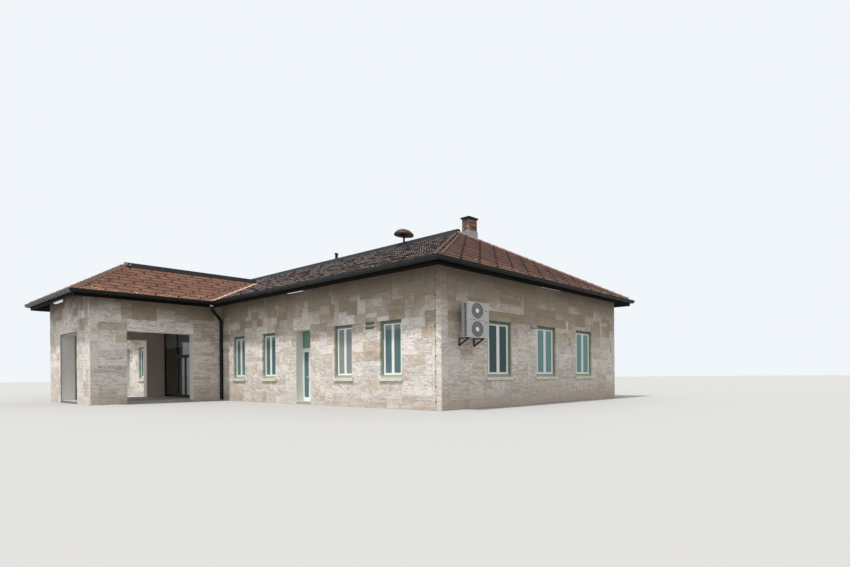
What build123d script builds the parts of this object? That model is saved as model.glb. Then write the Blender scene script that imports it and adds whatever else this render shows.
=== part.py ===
# Railway station building: one storey, hipped tile roof, open porch wing on the street side.
# Millimetres, +Z up, street side towards -Y, origin on the ground under the middle of the plan.
from build123d import *
import os
from math import hypot

os.makedirs("parts", exist_ok=True)

# Plan of the walls
porch_width = 6550
porch_depth = 4490
side_run = 15370
body_depth = 9920
wall = 450

# Heights above the ground
floor_top = 95
ceiling_height = 3400
ceiling_thick = 150
window_head = 2890
sill_top = 995
porch_head = 3010

# Roof
overhang = 540
eave_top = 4500
roof_thick = 270
ridge_top = 7220
porch_ridge_top = 6220
ridge_end_inset = 4800
porch_ridge_inset = 1840
ridge_cap_half = 150
ridge_cap_flat = 70
ridge_cap_rise = 175
ridge_cap_lip = 45
hip_tile_radius = 120
hip_tile_sink = 45
hip_tile_start = 230

# Gutters and downpipes
gutter_radius = 80
gutter_thick = 5
gutter_side = 65
gutter_drop = 10
gutter_bead = 8
pipe_radius = 60
pipe_gap = 20
pipe_foot = 60
funnel_radius = 75
funnel_height = 140
swan_top = 4110
swan_bottom = 3720
swan_radius = 120
clamp_height = 30
clamp_ring = 8
clamp_heights = (900, 2300, 3400)
rear_pipe_from_end = 9430

# Windows
window_width = 1155
street_bay = 2780
first_bay = 2480
end_bay = 2500
lining_side = 85
lining_head = 105
lining_foot = 100
lining_set_back = 60
lining_depth = 90
sash_set_back = 80
sash_depth = 55
sash_bar = 85
sash_head_bar = 50
sash_foot_bar = 65
sash_mullion = 134
glass_set_back = 100
glass_thick = 16
sill_thick = 100
sill_ear = 55
sill_nose = 50
sill_tail = 150

# Street doors, one each side of the porch, two narrow leaves each
door_width = 1130
door_from_end = 8040
door_set_back = 260
door_lining = 25
transom_low = 2130
transom_bar = 45
transom_panel = 30
leaf_depth = 60
leaf_gap = 6
meeting_gap = 16
leaf_side_bar = 92
leaf_head_bar = 90
leaf_foot_bar = 150
leaf_glass_thick = 20
leaf_floor_gap = 8
hinge_inset = 250
lever_height = 1050
lever_rose = 26
lever_rose_depth = 10
lever_stem = 9
lever_stem_length = 55
lever_length = 120
lever_bar = 20

# Glazed screens across the hall
screen_from_front = 400
screen_post = 70
screen_depth = 80
screen_door_width = 2060
screen_transom = 2140
screen_kick = 120
screen_glass_thick = 20
screen_leaf_bar = 75
screen_leaf_depth = 55
platform_screen_set_back = 150

# Hinges
knuckle_radius = 9
knuckle_half = 45
knuckle_gap = 0.3
knuckle_out = 11
flap_thick = 3
flap_reach = 24

# Porch openings
porch_front_opening = 2680
porch_side_opening = 2270
porch_side_opening_from_body = 1120

# Things on the roof
chimney_side = 450
chimney_from_end = 4720
chimney_behind_ridge = 540
chimney_flashing_rise = 160
chimney_brick_height = 550
chimney_cap_ear = 50
chimney_cap_edge = 55
chimney_cap_rise = 50
flashing_ear = 25
siren_from_end = 8595
siren_radius = 440
siren_lift = 325
siren_rise = 240
siren_skirt = 60
siren_mast_radius = 45
siren_throat_radius = 150
vent_from_end = 14405
vent_radius = 70
vent_hood_radius = 105
vent_rise = 305
vent_hood = 60
vent_hood_taper = 25

# Fittings on the right end wall
ac_from_corner = 614
ac_width = 892
ac_low = 2228
ac_high = 3330
ac_edge_radius = 12
ac_stand_off = 200
ac_depth = 270
fan_radius = 245
fan_from_side = 400
fan_spacing = 575
fan_recess = 40
fan_guard_thick = 8
fan_guard_set_back = 5
fan_wire = 8
fan_hub = 72
fan_guard_rings = 3
fan_guard_spokes = 12
bracket_width = 35
bracket_drop = 270
bracket_bar = 30
bracket_from_side = 40
bracket_spacing = 610
camera_from_corner = 4200
camera_height = 2790
camera_radius = 50
camera_length = 330
camera_arm = 150
camera_arm_radius = 18
camera_foot_radius = 55
camera_foot = 20
lamp_length = 1100
lamp_width = 90
lamp_from_wall = 300
lamp_bottom = 4290

# Places that follow from the sizes
x_porch = porch_width / 2
x_end = x_porch + side_run
y_rear = (body_depth + porch_depth) / 2
y_front = y_rear - body_depth
y_porch = y_front - porch_depth
y_middle = (y_front + y_rear) / 2
x_eave = x_end + overhang
x_porch_eave = x_porch + overhang
y_eave = y_front - overhang
y_rear_eave = y_rear + overhang
y_porch_eave = y_porch - overhang
x_ridge_end = x_end - ridge_end_inset
y_porch_ridge = y_porch + porch_ridge_inset
main_run = y_middle - y_eave
end_run = x_eave - x_ridge_end
hip_run = y_porch_ridge - y_porch_eave
main_slope = (ridge_top - eave_top) / main_run
end_slope = (ridge_top - eave_top) / end_run
porch_slope = (porch_ridge_top - eave_top) / x_porch_eave
hip_slope = (porch_ridge_top - eave_top) / hip_run
valley_run = (porch_ridge_top - eave_top) / main_slope
x_inner = x_end - wall
y_front_inner = y_front + wall
y_rear_inner = y_rear - wall
x_porch_inner = x_porch - wall
y_screen = y_front - screen_from_front
side_opening_rear = y_front - porch_side_opening_from_body
side_opening_front = side_opening_rear - porch_side_opening
ridge_cap_top = ridge_top + ridge_cap_rise
chimney_x = x_end - chimney_from_end
chimney_y = y_middle + chimney_behind_ridge
flashing_side = chimney_side + 2 * flashing_ear
sill_low = sill_top - sill_thick
bay_count = 1 + int((side_run - first_bay - window_width) / street_bay)
bay_xs = [x_end - first_bay - i * street_bay for i in range(bay_count)]
door_x = x_end - door_from_end
window_xs = [x for x in bay_xs if abs(x - door_x) > street_bay / 2]
end_window_ys = [y_middle + i * end_bay for i in (-1, 0, 1)]


def wall_place(x, y, outward):
    """Plane on a wall's outer face at ground level, local x along the wall and local y up."""
    normal = Vector(*outward)
    return Plane(origin=(x, y, 0), x_dir=Vector(0, 0, 1).cross(normal), z_dir=normal)


STREET, PLATFORM, RIGHT = (0, -1, 0), (0, 1, 0), (1, 0, 0)
street_places = [wall_place(x, y_front, STREET) for x in window_xs]
end_places = [wall_place(x_end, y, RIGHT) for y in end_window_ys]
rear_places = [wall_place(x, y_rear, PLATFORM) for x in bay_xs]
right_half_places = street_places + end_places + rear_places
door_place = wall_place(door_x, y_front, STREET)
screen_place = wall_place(0, y_screen, STREET)
platform_place = wall_place(0, y_rear - platform_screen_set_back, PLATFORM)

# Roof slopes, each one slab of rafters, boards and tiles with a vertical mitre at hips and valleys


def slope_plane(eave_point, along, inward, slope):
    """Plane of a roof slope: origin on the eave, local x along it and local y up the slope."""
    up_slope = Vector(*inward) + Vector(0, 0, slope)
    return Plane(origin=eave_point, x_dir=Vector(*along), z_dir=Vector(*along).cross(up_slope))


def slope_solid(plane, outline, slope, thickness):
    """Solid over a plan outline of (along, run) points, measured straight down from the slope."""
    stretch = hypot(1, slope)
    with BuildPart() as solid:
        with BuildSketch(plane):
            with BuildLine():
                Polyline(*[(along, run * stretch) for along, run in outline], close=True)
            make_face()
        extrude(amount=thickness, dir=(0, 0, -1))
    return solid.part


front_outline = [(x_porch_eave, 0), (x_eave, 0), (x_ridge_end, main_run), (0, main_run), (0, valley_run)]
rear_outline = [(-x_eave, 0), (x_eave, 0), (x_ridge_end, main_run), (-x_ridge_end, main_run)]
end_outline = [(-main_run, 0), (main_run, 0), (0, end_run)]
porch_side_outline = [
    (y_porch_eave, 0), (y_eave, 0), (y_eave + valley_run, x_porch_eave), (y_porch_ridge, x_porch_eave)]
porch_front_outline = [(-x_porch_eave, 0), (x_porch_eave, 0), (0, hip_run)]

front_plane = slope_plane((0, y_eave, eave_top), (1, 0, 0), (0, 1, 0), main_slope)
rear_plane = slope_plane((0, y_rear_eave, eave_top), (-1, 0, 0), (0, -1, 0), main_slope)
end_plane = slope_plane((x_eave, y_middle, eave_top), (0, 1, 0), (-1, 0, 0), end_slope)
porch_side_plane = slope_plane((x_porch_eave, 0, eave_top), (0, 1, 0), (-1, 0, 0), porch_slope)
porch_front_plane = slope_plane((0, y_porch_eave, eave_top), (1, 0, 0), (0, 1, 0), hip_slope)

with BuildPart() as roof_front_right:
    add(slope_solid(front_plane, front_outline, main_slope, roof_thick))
with BuildPart() as roof_front_left:
    mirror(roof_front_right.part, about=Plane.YZ)
with BuildPart() as roof_rear:
    add(slope_solid(rear_plane, rear_outline, main_slope, roof_thick))
with BuildPart() as roof_ends:
    add(slope_solid(end_plane, end_outline, end_slope, roof_thick))
    mirror(about=Plane.YZ)
with BuildPart() as roof_porch_right:
    add(slope_solid(porch_side_plane, porch_side_outline, porch_slope, roof_thick))
with BuildPart() as roof_porch_left:
    mirror(roof_porch_right.part, about=Plane.YZ)
with BuildPart() as roof_porch_front:
    add(slope_solid(porch_front_plane, porch_front_outline, hip_slope, roof_thick))

# Everything above the soffit, which trims the tops of the walls


def over_soffit(plane, outline, slope):
    """Block that rises from the underside of one slope past the top of the roof."""
    lowered = Plane(origin=plane.origin + Vector(0, 0, ridge_top), x_dir=plane.x_dir, z_dir=plane.z_dir)
    return slope_solid(lowered, outline, slope, ridge_top + roof_thick)


with BuildPart() as above_soffit:
    add(over_soffit(front_plane, front_outline, main_slope))
    add(over_soffit(end_plane, end_outline, end_slope))
    add(over_soffit(porch_side_plane, porch_side_outline, porch_slope))
    mirror(about=Plane.YZ)
    add(over_soffit(rear_plane, rear_outline, main_slope))
    add(over_soffit(porch_front_plane, porch_front_outline, hip_slope))

# Walls


def wall_box(x_low, x_high, y_low, y_high, z_low=0):
    """Stretch of wall up to the soffit."""
    with BuildPart() as box:
        with BuildSketch(Plane.XY.offset(z_low)):
            with Locations(((x_low + x_high) / 2, (y_low + y_high) / 2)):
                Rectangle(x_high - x_low, y_high - y_low)
        extrude(amount=ridge_top - z_low)
        add(above_soffit.part, mode=Mode.SUBTRACT)
    return box.part


def cut_windows(places):
    """Cuts window openings through the wall being built."""
    with BuildSketch(*places) as openings:
        with Locations((0, (sill_low + window_head) / 2)):
            Rectangle(window_width, window_head - sill_low)
    extrude(openings.sketch, amount=-wall, mode=Mode.SUBTRACT)


with BuildPart() as front_wall_right:
    add(wall_box(door_x + door_width / 2, x_end, y_front, y_front_inner))
    add(wall_box(x_porch, door_x - door_width / 2, y_front, y_front_inner))
    cut_windows(street_places)
with BuildPart() as front_wall_left:
    mirror(front_wall_right.part, about=Plane.YZ)
with BuildPart() as end_wall_right:
    add(wall_box(x_inner, x_end, y_front_inner, y_rear_inner))
    cut_windows(end_places)
with BuildPart() as end_wall_left:
    mirror(end_wall_right.part, about=Plane.YZ)
with BuildPart() as rear_walls:
    add(wall_box(x_porch_inner, x_end, y_rear_inner, y_rear))
    cut_windows(rear_places)
    mirror(about=Plane.YZ)
with BuildPart() as door_lintels:
    add(wall_box(
        door_x - door_width / 2, door_x + door_width / 2, y_front, y_front_inner, window_head))
    mirror(about=Plane.YZ)
    add(wall_box(-x_porch_inner, x_porch_inner, y_rear_inner, y_rear, porch_head))
with BuildPart() as porch_front_piers:
    add(wall_box(x_porch_inner, x_porch, y_porch, side_opening_front))
    add(wall_box(porch_front_opening / 2, x_porch_inner, y_porch, y_porch + wall))
    mirror(about=Plane.YZ)
with BuildPart() as porch_rear_piers:
    add(wall_box(x_porch_inner, x_porch, side_opening_rear, y_front_inner))
    mirror(about=Plane.YZ)
with BuildPart() as porch_lintels:
    add(wall_box(x_porch_inner, x_porch, side_opening_front, side_opening_rear, porch_head))
    mirror(about=Plane.YZ)
    add(wall_box(
        -porch_front_opening / 2, porch_front_opening / 2, y_porch, y_porch + wall, porch_head))

# Floors and ceilings


def slab(x_half, y_low, y_high, z_low, z_high):
    """Flat slab, symmetric about the porch axis."""
    with BuildPart() as plate:
        with BuildSketch(Plane.XY.offset(z_low)):
            with Locations((0, (y_low + y_high) / 2)):
                Rectangle(2 * x_half, y_high - y_low)
        extrude(amount=z_high - z_low)
    return plate.part


def threshold(x, y, width, depth):
    """Floor that fills a doorway, centred at x, y."""
    with BuildPart() as sill:
        with BuildSketch():
            with Locations((x, y)):
                Rectangle(width, depth)
        extrude(amount=floor_top)
    return sill.part


with BuildPart() as thresholds:
    add(threshold(door_x, y_front + wall / 2, door_width, wall))
    add(threshold(
        x_porch - wall / 2, (side_opening_front + side_opening_rear) / 2, wall, porch_side_opening))
    mirror(about=Plane.YZ)
    add(threshold(0, y_porch + wall / 2, porch_front_opening, wall))
    add(threshold(0, y_rear - wall / 2, 2 * x_porch_inner, wall))
with BuildPart() as hall_floor:
    add(slab(x_inner, y_front_inner, y_rear_inner, 0, floor_top))
with BuildPart() as porch_floor:
    add(slab(x_porch_inner, y_porch + wall, y_front_inner, 0, floor_top))
with BuildPart() as hall_ceiling:
    add(slab(x_inner, y_front_inner, y_rear_inner, ceiling_height, ceiling_height + ceiling_thick))
with BuildPart() as porch_ceiling:
    add(slab(x_porch_inner, y_porch + wall, y_front_inner, ceiling_height, ceiling_height + ceiling_thick))

# Windows: green lining, white two-light sash, glass and stone sill


def frame_sketch(width, low, high, side, foot, head):
    """Rectangular frame in the sketch being built, low and high above ground."""
    with Locations((0, (low + high) / 2)):
        Rectangle(width, high - low)
    with Locations((0, (low + foot + high - head) / 2)):
        Rectangle(width - 2 * side, high - low - foot - head, mode=Mode.SUBTRACT)


lining_low = sill_top
sash_width = window_width - 2 * lining_side
sash_low = sill_top + lining_foot
sash_high = window_head - lining_head
light_width = (sash_width - 2 * sash_bar - sash_mullion) / 2
light_x = (sash_mullion + light_width) / 2
light_low = sash_low + sash_foot_bar
light_high = sash_high - sash_head_bar


def lights_sketch():
    """The two glazed lights of a sash."""
    with Locations((-light_x, (light_low + light_high) / 2), (light_x, (light_low + light_high) / 2)):
        Rectangle(light_width, light_high - light_low)


with BuildPart() as window_linings:
    with BuildSketch(*[place.offset(-lining_set_back) for place in right_half_places]):
        frame_sketch(window_width, lining_low, window_head, lining_side, lining_foot, lining_head)
    extrude(amount=-lining_depth)
    mirror(about=Plane.YZ)
with BuildPart() as window_sashes:
    with BuildSketch(*[place.offset(-sash_set_back) for place in right_half_places]):
        frame_sketch(sash_width, sash_low, sash_high, sash_bar, sash_foot_bar, sash_head_bar)
        with Locations((0, (light_low + light_high) / 2)):
            Rectangle(sash_mullion, light_high - light_low)
    extrude(amount=-sash_depth)
    mirror(about=Plane.YZ)
with BuildPart() as window_glass:
    with BuildSketch(*[place.offset(-glass_set_back) for place in right_half_places]):
        lights_sketch()
    extrude(amount=-glass_thick)
    mirror(about=Plane.YZ)
with BuildPart() as window_sills:
    with BuildSketch(*right_half_places):
        with Locations((0, sill_top - sill_thick / 2)):
            Rectangle(window_width, sill_thick)
    extrude(amount=-sill_tail)
    with BuildSketch(*right_half_places):
        with Locations((0, sill_top - sill_thick / 2)):
            Rectangle(window_width + 2 * sill_ear, sill_thick)
    extrude(amount=sill_nose)
    mirror(about=Plane.YZ)

# Hinges: knuckles stand clear of the door face, each with a flap that lies on its leaf or frame


def hinge_halves(place, axis_x, face, side, out, heights, leaf_half):
    """Adds one half of each hinge. side is where the leaf lies from the axis, out which face it is on."""
    reach = side if leaf_half else -side
    start = knuckle_gap / 2 if leaf_half else -knuckle_half - knuckle_gap / 2
    for height in heights:
        foot = place.from_local_coords(Vector(0, height + start, 0))
        with BuildSketch(Plane(origin=foot, x_dir=place.x_dir, z_dir=(0, 0, 1))) as section:
            with Locations((axis_x, -face - out * knuckle_out)):
                Circle(knuckle_radius)
            with Locations((axis_x + reach * flap_reach / 2, -face - out * flap_thick / 2)):
                Rectangle(flap_reach, flap_thick)
        extrude(section.sketch, amount=knuckle_half)


def leaf_frame(place, edge_x, side, width, low, high, depth, bars, out, heights):
    """Leaf of a door: frame, hinge halves and lever handles. place lies on the leaf's outer face."""
    side_bar, foot_bar, head_bar = bars
    middle_x = edge_x + side * width / 2
    lever_x = edge_x + side * (width - side_bar / 2)
    knuckle_face = 0 if out > 0 else -depth
    with BuildPart() as leaf:
        with BuildSketch(place):
            with Locations((middle_x, 0)):
                frame_sketch(width, low, high, side_bar, foot_bar, head_bar)
        extrude(amount=-depth)
        hinge_halves(place, edge_x - side * leaf_gap / 2, knuckle_face, side, out, heights, True)
        with BuildSketch(place.offset(lever_rose_depth), place.offset(-depth)):
            with Locations((lever_x, lever_height)):
                Circle(lever_rose)
        extrude(amount=-lever_rose_depth)
        with BuildSketch(place.offset(lever_stem_length), place.offset(-depth)):
            with Locations((lever_x, lever_height)):
                Circle(lever_stem)
        extrude(amount=-lever_stem_length)
        lever_back = place.offset(-depth - lever_stem_length + lever_bar)
        with BuildSketch(place.offset(lever_stem_length), lever_back):
            with Locations((lever_x - side * (lever_length / 2 - lever_stem), lever_height)):
                Rectangle(lever_length, lever_bar)
        extrude(amount=-lever_bar)
    return leaf.part


def leaf_pane(place, edge_x, side, width, low, high, depth, bars, thick):
    """Glass of a door leaf."""
    side_bar, foot_bar, head_bar = bars
    with BuildPart() as pane:
        with BuildSketch(place.offset(-(depth - thick) / 2)):
            with Locations((edge_x + side * width / 2, (low + foot_bar + high - head_bar) / 2)):
                Rectangle(width - 2 * side_bar, high - low - foot_bar - head_bar)
        extrude(amount=-thick)
    return pane.part


# Street doors, one each side of the porch

leaf_low = floor_top + leaf_floor_gap
door_leaf_high = transom_low - leaf_gap
door_leaf_width = (door_width - 2 * door_lining - 2 * leaf_gap - meeting_gap) / 2
door_edge = door_width / 2 - door_lining - leaf_gap
door_bars = (leaf_side_bar, leaf_foot_bar, leaf_head_bar)
door_hinge_heights = (leaf_low + hinge_inset, (leaf_low + door_leaf_high) / 2, door_leaf_high - hinge_inset)
door_leaf_place = door_place.offset(-door_set_back)
door_leaf_sizes = (door_leaf_width, leaf_low, door_leaf_high, leaf_depth, door_bars)

with BuildPart() as street_door_frames:
    with BuildSketch(door_place):
        frame_sketch(door_width, floor_top, window_head, door_lining, 0, door_lining)
    extrude(amount=-door_set_back - leaf_depth)
    with BuildSketch(door_leaf_place):
        with Locations((0, transom_low + transom_bar / 2)):
            Rectangle(door_width, transom_bar)
    extrude(amount=-leaf_depth)
    with BuildSketch(door_leaf_place):
        with Locations((0, (transom_low + window_head) / 2)):
            Rectangle(door_width, window_head - transom_low)
    extrude(amount=-transom_panel)
    for side in (-1, 1):
        hinge_halves(door_leaf_place, -side * (door_edge + leaf_gap / 2), -leaf_depth, side, -1,
                     door_hinge_heights, False)
    mirror(about=Plane.YZ)
with BuildPart() as street_door_right_outer_leaf:
    add(leaf_frame(door_leaf_place, door_edge, -1, *door_leaf_sizes, -1, door_hinge_heights))
with BuildPart() as street_door_right_inner_leaf:
    add(leaf_frame(door_leaf_place, -door_edge, 1, *door_leaf_sizes, -1, door_hinge_heights))
with BuildPart() as street_door_left_outer_leaf:
    mirror(street_door_right_outer_leaf.part, about=Plane.YZ)
with BuildPart() as street_door_left_inner_leaf:
    mirror(street_door_right_inner_leaf.part, about=Plane.YZ)
with BuildPart() as street_door_right_outer_glass:
    add(leaf_pane(door_leaf_place, door_edge, -1, *door_leaf_sizes, leaf_glass_thick))
with BuildPart() as street_door_right_inner_glass:
    add(leaf_pane(door_leaf_place, -door_edge, 1, *door_leaf_sizes, leaf_glass_thick))
with BuildPart() as street_door_left_outer_glass:
    mirror(street_door_right_outer_glass.part, about=Plane.YZ)
with BuildPart() as street_door_left_inner_glass:
    mirror(street_door_right_inner_glass.part, about=Plane.YZ)

# Glazed screens across the hall, with swing doors in the one under the porch

screen_half = x_porch_inner
screen_door_half = screen_door_width / 2
side_light_inner = screen_door_half + screen_post
side_light_width = screen_half - screen_post - side_light_inner
side_light_x = side_light_inner + side_light_width / 2
upper_low = screen_transom + screen_post


def screen_panes(top, with_doorway):
    """Openings of a screen as (x, low, width, height): side lights, upper lights, fill of the doorway."""
    side_low = floor_top + screen_kick
    panes = [(s * side_light_x, side_low, side_light_width, screen_transom - side_low) for s in (-1, 1)]
    upper_height = top - screen_post - upper_low
    panes += [(s * side_light_x, upper_low, side_light_width, upper_height) for s in (-1, 1)]
    panes.append((0, upper_low, screen_door_width, upper_height))
    if not with_doorway:
        half_width = screen_door_half - screen_post / 2
        panes += [(s * (screen_post + half_width) / 2, side_low, half_width, screen_transom - side_low)
                  for s in (-1, 1)]
    return panes


def panes_sketch(panes, mode=Mode.ADD):
    """Rectangles of the panes in the sketch being built."""
    for x, low, width, height in panes:
        with Locations((x, low + height / 2)):
            Rectangle(width, height, mode=mode)


def screen_outline(top):
    """Whole field of a screen in the sketch being built."""
    with Locations((0, (floor_top + top) / 2)):
        Rectangle(2 * screen_half, top - floor_top)


entrance_panes = screen_panes(ceiling_height, True)
platform_panes = screen_panes(porch_head, False)
entrance_leaf_width = (screen_door_width - 2 * leaf_gap - meeting_gap) / 2
entrance_edge = screen_door_half - leaf_gap
entrance_leaf_high = screen_transom - leaf_gap
entrance_bars = (screen_leaf_bar, screen_kick, screen_leaf_bar)
entrance_hinge_heights = (leaf_low + hinge_inset, (leaf_low + entrance_leaf_high) / 2,
                          entrance_leaf_high - hinge_inset)
entrance_sizes = (entrance_leaf_width, leaf_low, entrance_leaf_high, screen_leaf_depth, entrance_bars)

with BuildPart() as entrance_screen:
    with BuildSketch(screen_place):
        screen_outline(ceiling_height)
        panes_sketch(entrance_panes, mode=Mode.SUBTRACT)
        panes_sketch([(0, floor_top, screen_door_width, screen_transom - floor_top)], mode=Mode.SUBTRACT)
    extrude(amount=-screen_depth)
    for side in (-1, 1):
        hinge_halves(screen_place, -side * (entrance_edge + leaf_gap / 2), 0, side, 1,
                     entrance_hinge_heights, False)
with BuildPart() as entrance_screen_glass:
    with BuildSketch(screen_place.offset(-(screen_depth - screen_glass_thick) / 2)):
        panes_sketch(entrance_panes)
    extrude(amount=-screen_glass_thick)
with BuildPart() as entrance_leaf_right:
    add(leaf_frame(screen_place, entrance_edge, -1, *entrance_sizes, 1, entrance_hinge_heights))
with BuildPart() as entrance_leaf_left:
    mirror(entrance_leaf_right.part, about=Plane.YZ)
with BuildPart() as entrance_glass_right:
    add(leaf_pane(screen_place, entrance_edge, -1, *entrance_sizes, screen_glass_thick))
with BuildPart() as entrance_glass_left:
    mirror(entrance_glass_right.part, about=Plane.YZ)
with BuildPart() as platform_screen:
    with BuildSketch(platform_place):
        screen_outline(porch_head)
        panes_sketch(platform_panes, mode=Mode.SUBTRACT)
    extrude(amount=-screen_depth)
with BuildPart() as platform_screen_glass:
    with BuildSketch(platform_place.offset(-(screen_depth - screen_glass_thick) / 2)):
        panes_sketch(platform_panes)
    extrude(amount=-screen_glass_thick)

# Ridge caps and hip tiles


def cap_solid(plane, slope, length):
    """Ridge cap extruded from the plane of its end section."""
    foot = -ridge_cap_half * slope
    with BuildPart() as cap:
        with BuildSketch(plane):
            with BuildLine():
                Polyline(
                    (0, 0), (ridge_cap_half, foot), (ridge_cap_half, foot + ridge_cap_lip),
                    (ridge_cap_flat, ridge_cap_rise), (-ridge_cap_flat, ridge_cap_rise),
                    (-ridge_cap_half, foot + ridge_cap_lip), (-ridge_cap_half, foot), close=True)
            make_face()
        extrude(amount=length)
    return cap.part


porch_ridge_rear = y_eave + valley_run - ridge_cap_half
with BuildPart() as ridge_caps:
    add(cap_solid(
        Plane(origin=(-x_ridge_end, y_middle, ridge_top), x_dir=(0, 1, 0), z_dir=(1, 0, 0)),
        main_slope, 2 * x_ridge_end))
    add(cap_solid(
        Plane(origin=(0, porch_ridge_rear, porch_ridge_top), x_dir=(1, 0, 0), z_dir=(0, -1, 0)),
        porch_slope, porch_ridge_rear - y_porch_ridge))


with BuildPart() as chimney_column:
    with BuildSketch(Plane.XY.offset(eave_top)):
        with Locations((chimney_x, chimney_y)):
            Rectangle(flashing_side, flashing_side)
    extrude(amount=ridge_top)


def hip_tile_run(eave_corner, ridge_end, slabs):
    """Rounded hip tiles from just above an eave corner to the ridge, seated on the two slopes."""
    up_hip = Vector(*ridge_end) - Vector(*eave_corner)
    start = Vector(*eave_corner) + up_hip.normalized() * hip_tile_start - Vector(0, 0, hip_tile_sink)
    with BuildPart() as run:
        with BuildSketch(Plane(origin=start, z_dir=up_hip)):
            Circle(hip_tile_radius)
        extrude(amount=up_hip.length - hip_tile_start)
        for slab_part in slabs:
            add(slab_part, mode=Mode.SUBTRACT)
        add(ridge_caps.part, mode=Mode.SUBTRACT)
        add(chimney_column.part, mode=Mode.SUBTRACT)
    return run.part


main_slabs = [roof_front_right.part, roof_ends.part, roof_rear.part]
with BuildPart() as hip_tiles:
    add(hip_tile_run((x_eave, y_eave, eave_top), (x_ridge_end, y_middle, ridge_top),
                     main_slabs))
    add(hip_tile_run((x_eave, y_rear_eave, eave_top), (x_ridge_end, y_middle, ridge_top), main_slabs))
    add(hip_tile_run((x_porch_eave, y_porch_eave, eave_top), (0, y_porch_ridge, porch_ridge_top),
                     [roof_porch_right.part, roof_porch_left.part, roof_porch_front.part]))
    mirror(about=Plane.YZ)

# Gutters, one straight run along each eave with mitred ends, going clockwise seen from above

gutter_line = overhang + gutter_radius
gutter_top = eave_top - gutter_drop
gutter_bottom = gutter_top - gutter_side - gutter_radius
gx, gy, gy_rear = x_end + gutter_line, y_front - gutter_line, y_rear + gutter_line
gx_porch, gy_porch = x_porch + gutter_line, y_porch - gutter_line
gutter_corners = [
    (gx, gy_rear), (gx, gy), (gx_porch, gy), (gx_porch, gy_porch),
    (-gx_porch, gy_porch), (-gx_porch, gy), (-gx, gy), (-gx, gy_rear)]


def gutter_run(number):
    """One run of deep round-bottomed gutter with a beaded rim, cut at the mitres with its neighbours."""
    corners = [Vector(*gutter_corners[(number + step) % len(gutter_corners)], gutter_top)
               for step in (-1, 0, 1, 2)]
    before, along, after = [(b - a).normalized() for a, b in zip(corners, corners[1:])]
    outward = Vector(0, 0, 1).cross(along)
    reach = 2 * gutter_radius
    with BuildPart() as run:
        with BuildSketch(Plane(origin=corners[1] - along * reach, x_dir=outward, z_dir=along)):
            with Locations((0, -gutter_side)):
                Circle(gutter_radius)
            with Locations((0, -gutter_side / 2)):
                Rectangle(2 * gutter_radius, gutter_side)
            with Locations((0, -gutter_side)):
                Circle(gutter_radius - gutter_thick, mode=Mode.SUBTRACT)
            Rectangle(2 * (gutter_radius - gutter_thick), 2 * gutter_side, mode=Mode.SUBTRACT)
            with Locations((gutter_radius, -gutter_bead)):
                Circle(gutter_bead)
        extrude(amount=(corners[2] - corners[1]).length + 2 * reach)
        split(bisect_by=Plane(origin=corners[1], z_dir=before + along), keep=Keep.TOP)
        split(bisect_by=Plane(origin=corners[2], z_dir=along + after), keep=Keep.BOTTOM)
    return run.part


with BuildPart() as gutters_long:
    for number in (1, 3, 5, 7):
        add(gutter_run(number))
with BuildPart() as gutters_cross:
    for number in (0, 2, 4, 6):
        add(gutter_run(number))

# Downpipes: funnel under the gutter, swan neck to the wall, clamps


def downpipe(outlet, foot, clamp_outward):
    """Downpipe from a point under the gutter to a point beside the wall, both in plan."""
    pipe_top = gutter_bottom - funnel_height
    with BuildPart() as pipe:
        with BuildLine() as route:
            FilletPolyline(
                (*outlet, pipe_top), (*outlet, swan_top), (*foot, swan_bottom), (*foot, pipe_foot),
                radius=swan_radius)
        with BuildSketch(Plane(origin=(*outlet, pipe_top), z_dir=(0, 0, -1))):
            Circle(pipe_radius)
        sweep(path=route.wires()[0])
        with BuildSketch(Plane.XY.offset(pipe_top)):
            with Locations(outlet):
                Circle(pipe_radius)
        with BuildSketch(Plane.XY.offset(gutter_bottom)):
            with Locations(outlet):
                Circle(funnel_radius)
        loft()
        for height in clamp_heights:
            with BuildSketch(Plane.XY.offset(height)):
                with Locations(foot):
                    Circle(pipe_radius + clamp_ring)
                reach = (pipe_radius + pipe_gap) / 2
                with Locations((foot[0] - clamp_outward[0] * reach, foot[1] - clamp_outward[1] * reach)):
                    if clamp_outward[0]:
                        Rectangle(2 * reach, clamp_height)
                    else:
                        Rectangle(clamp_height, 2 * reach)
            extrude(amount=clamp_height)
    return pipe.part


pipe_stand = pipe_radius + pipe_gap
rear_pipe_x = x_end - rear_pipe_from_end
with BuildPart() as downpipes:
    add(downpipe((gx_porch, gy), (x_porch + pipe_stand, y_front - pipe_stand), STREET))
    add(downpipe((rear_pipe_x, gy_rear), (rear_pipe_x, y_rear + pipe_stand), PLATFORM))
    mirror(about=Plane.YZ)

# Chimney, siren and vent pipe

chimney_foot_run = y_rear_eave - chimney_y - flashing_side / 2
chimney_foot = eave_top + chimney_foot_run * main_slope
chimney_brick_low = ridge_top + chimney_flashing_rise
chimney_brick_high = chimney_brick_low + chimney_brick_height
chimney_slopes = [
    (rear_plane, rear_outline, main_slope), (front_plane, front_outline, main_slope),
    (end_plane, end_outline, end_slope)]


def on_roof(width, low, high):
    """Square block at the chimney, cut off at the roof's surface."""
    with BuildPart() as block:
        with BuildSketch(Plane.XY.offset(low)):
            with Locations((chimney_x, chimney_y)):
                Rectangle(width, width)
        extrude(amount=high - low)
        for plane, outline, slope in chimney_slopes:
            add(slope_solid(plane, outline, slope, ridge_top), mode=Mode.SUBTRACT)
    return block.part


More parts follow.
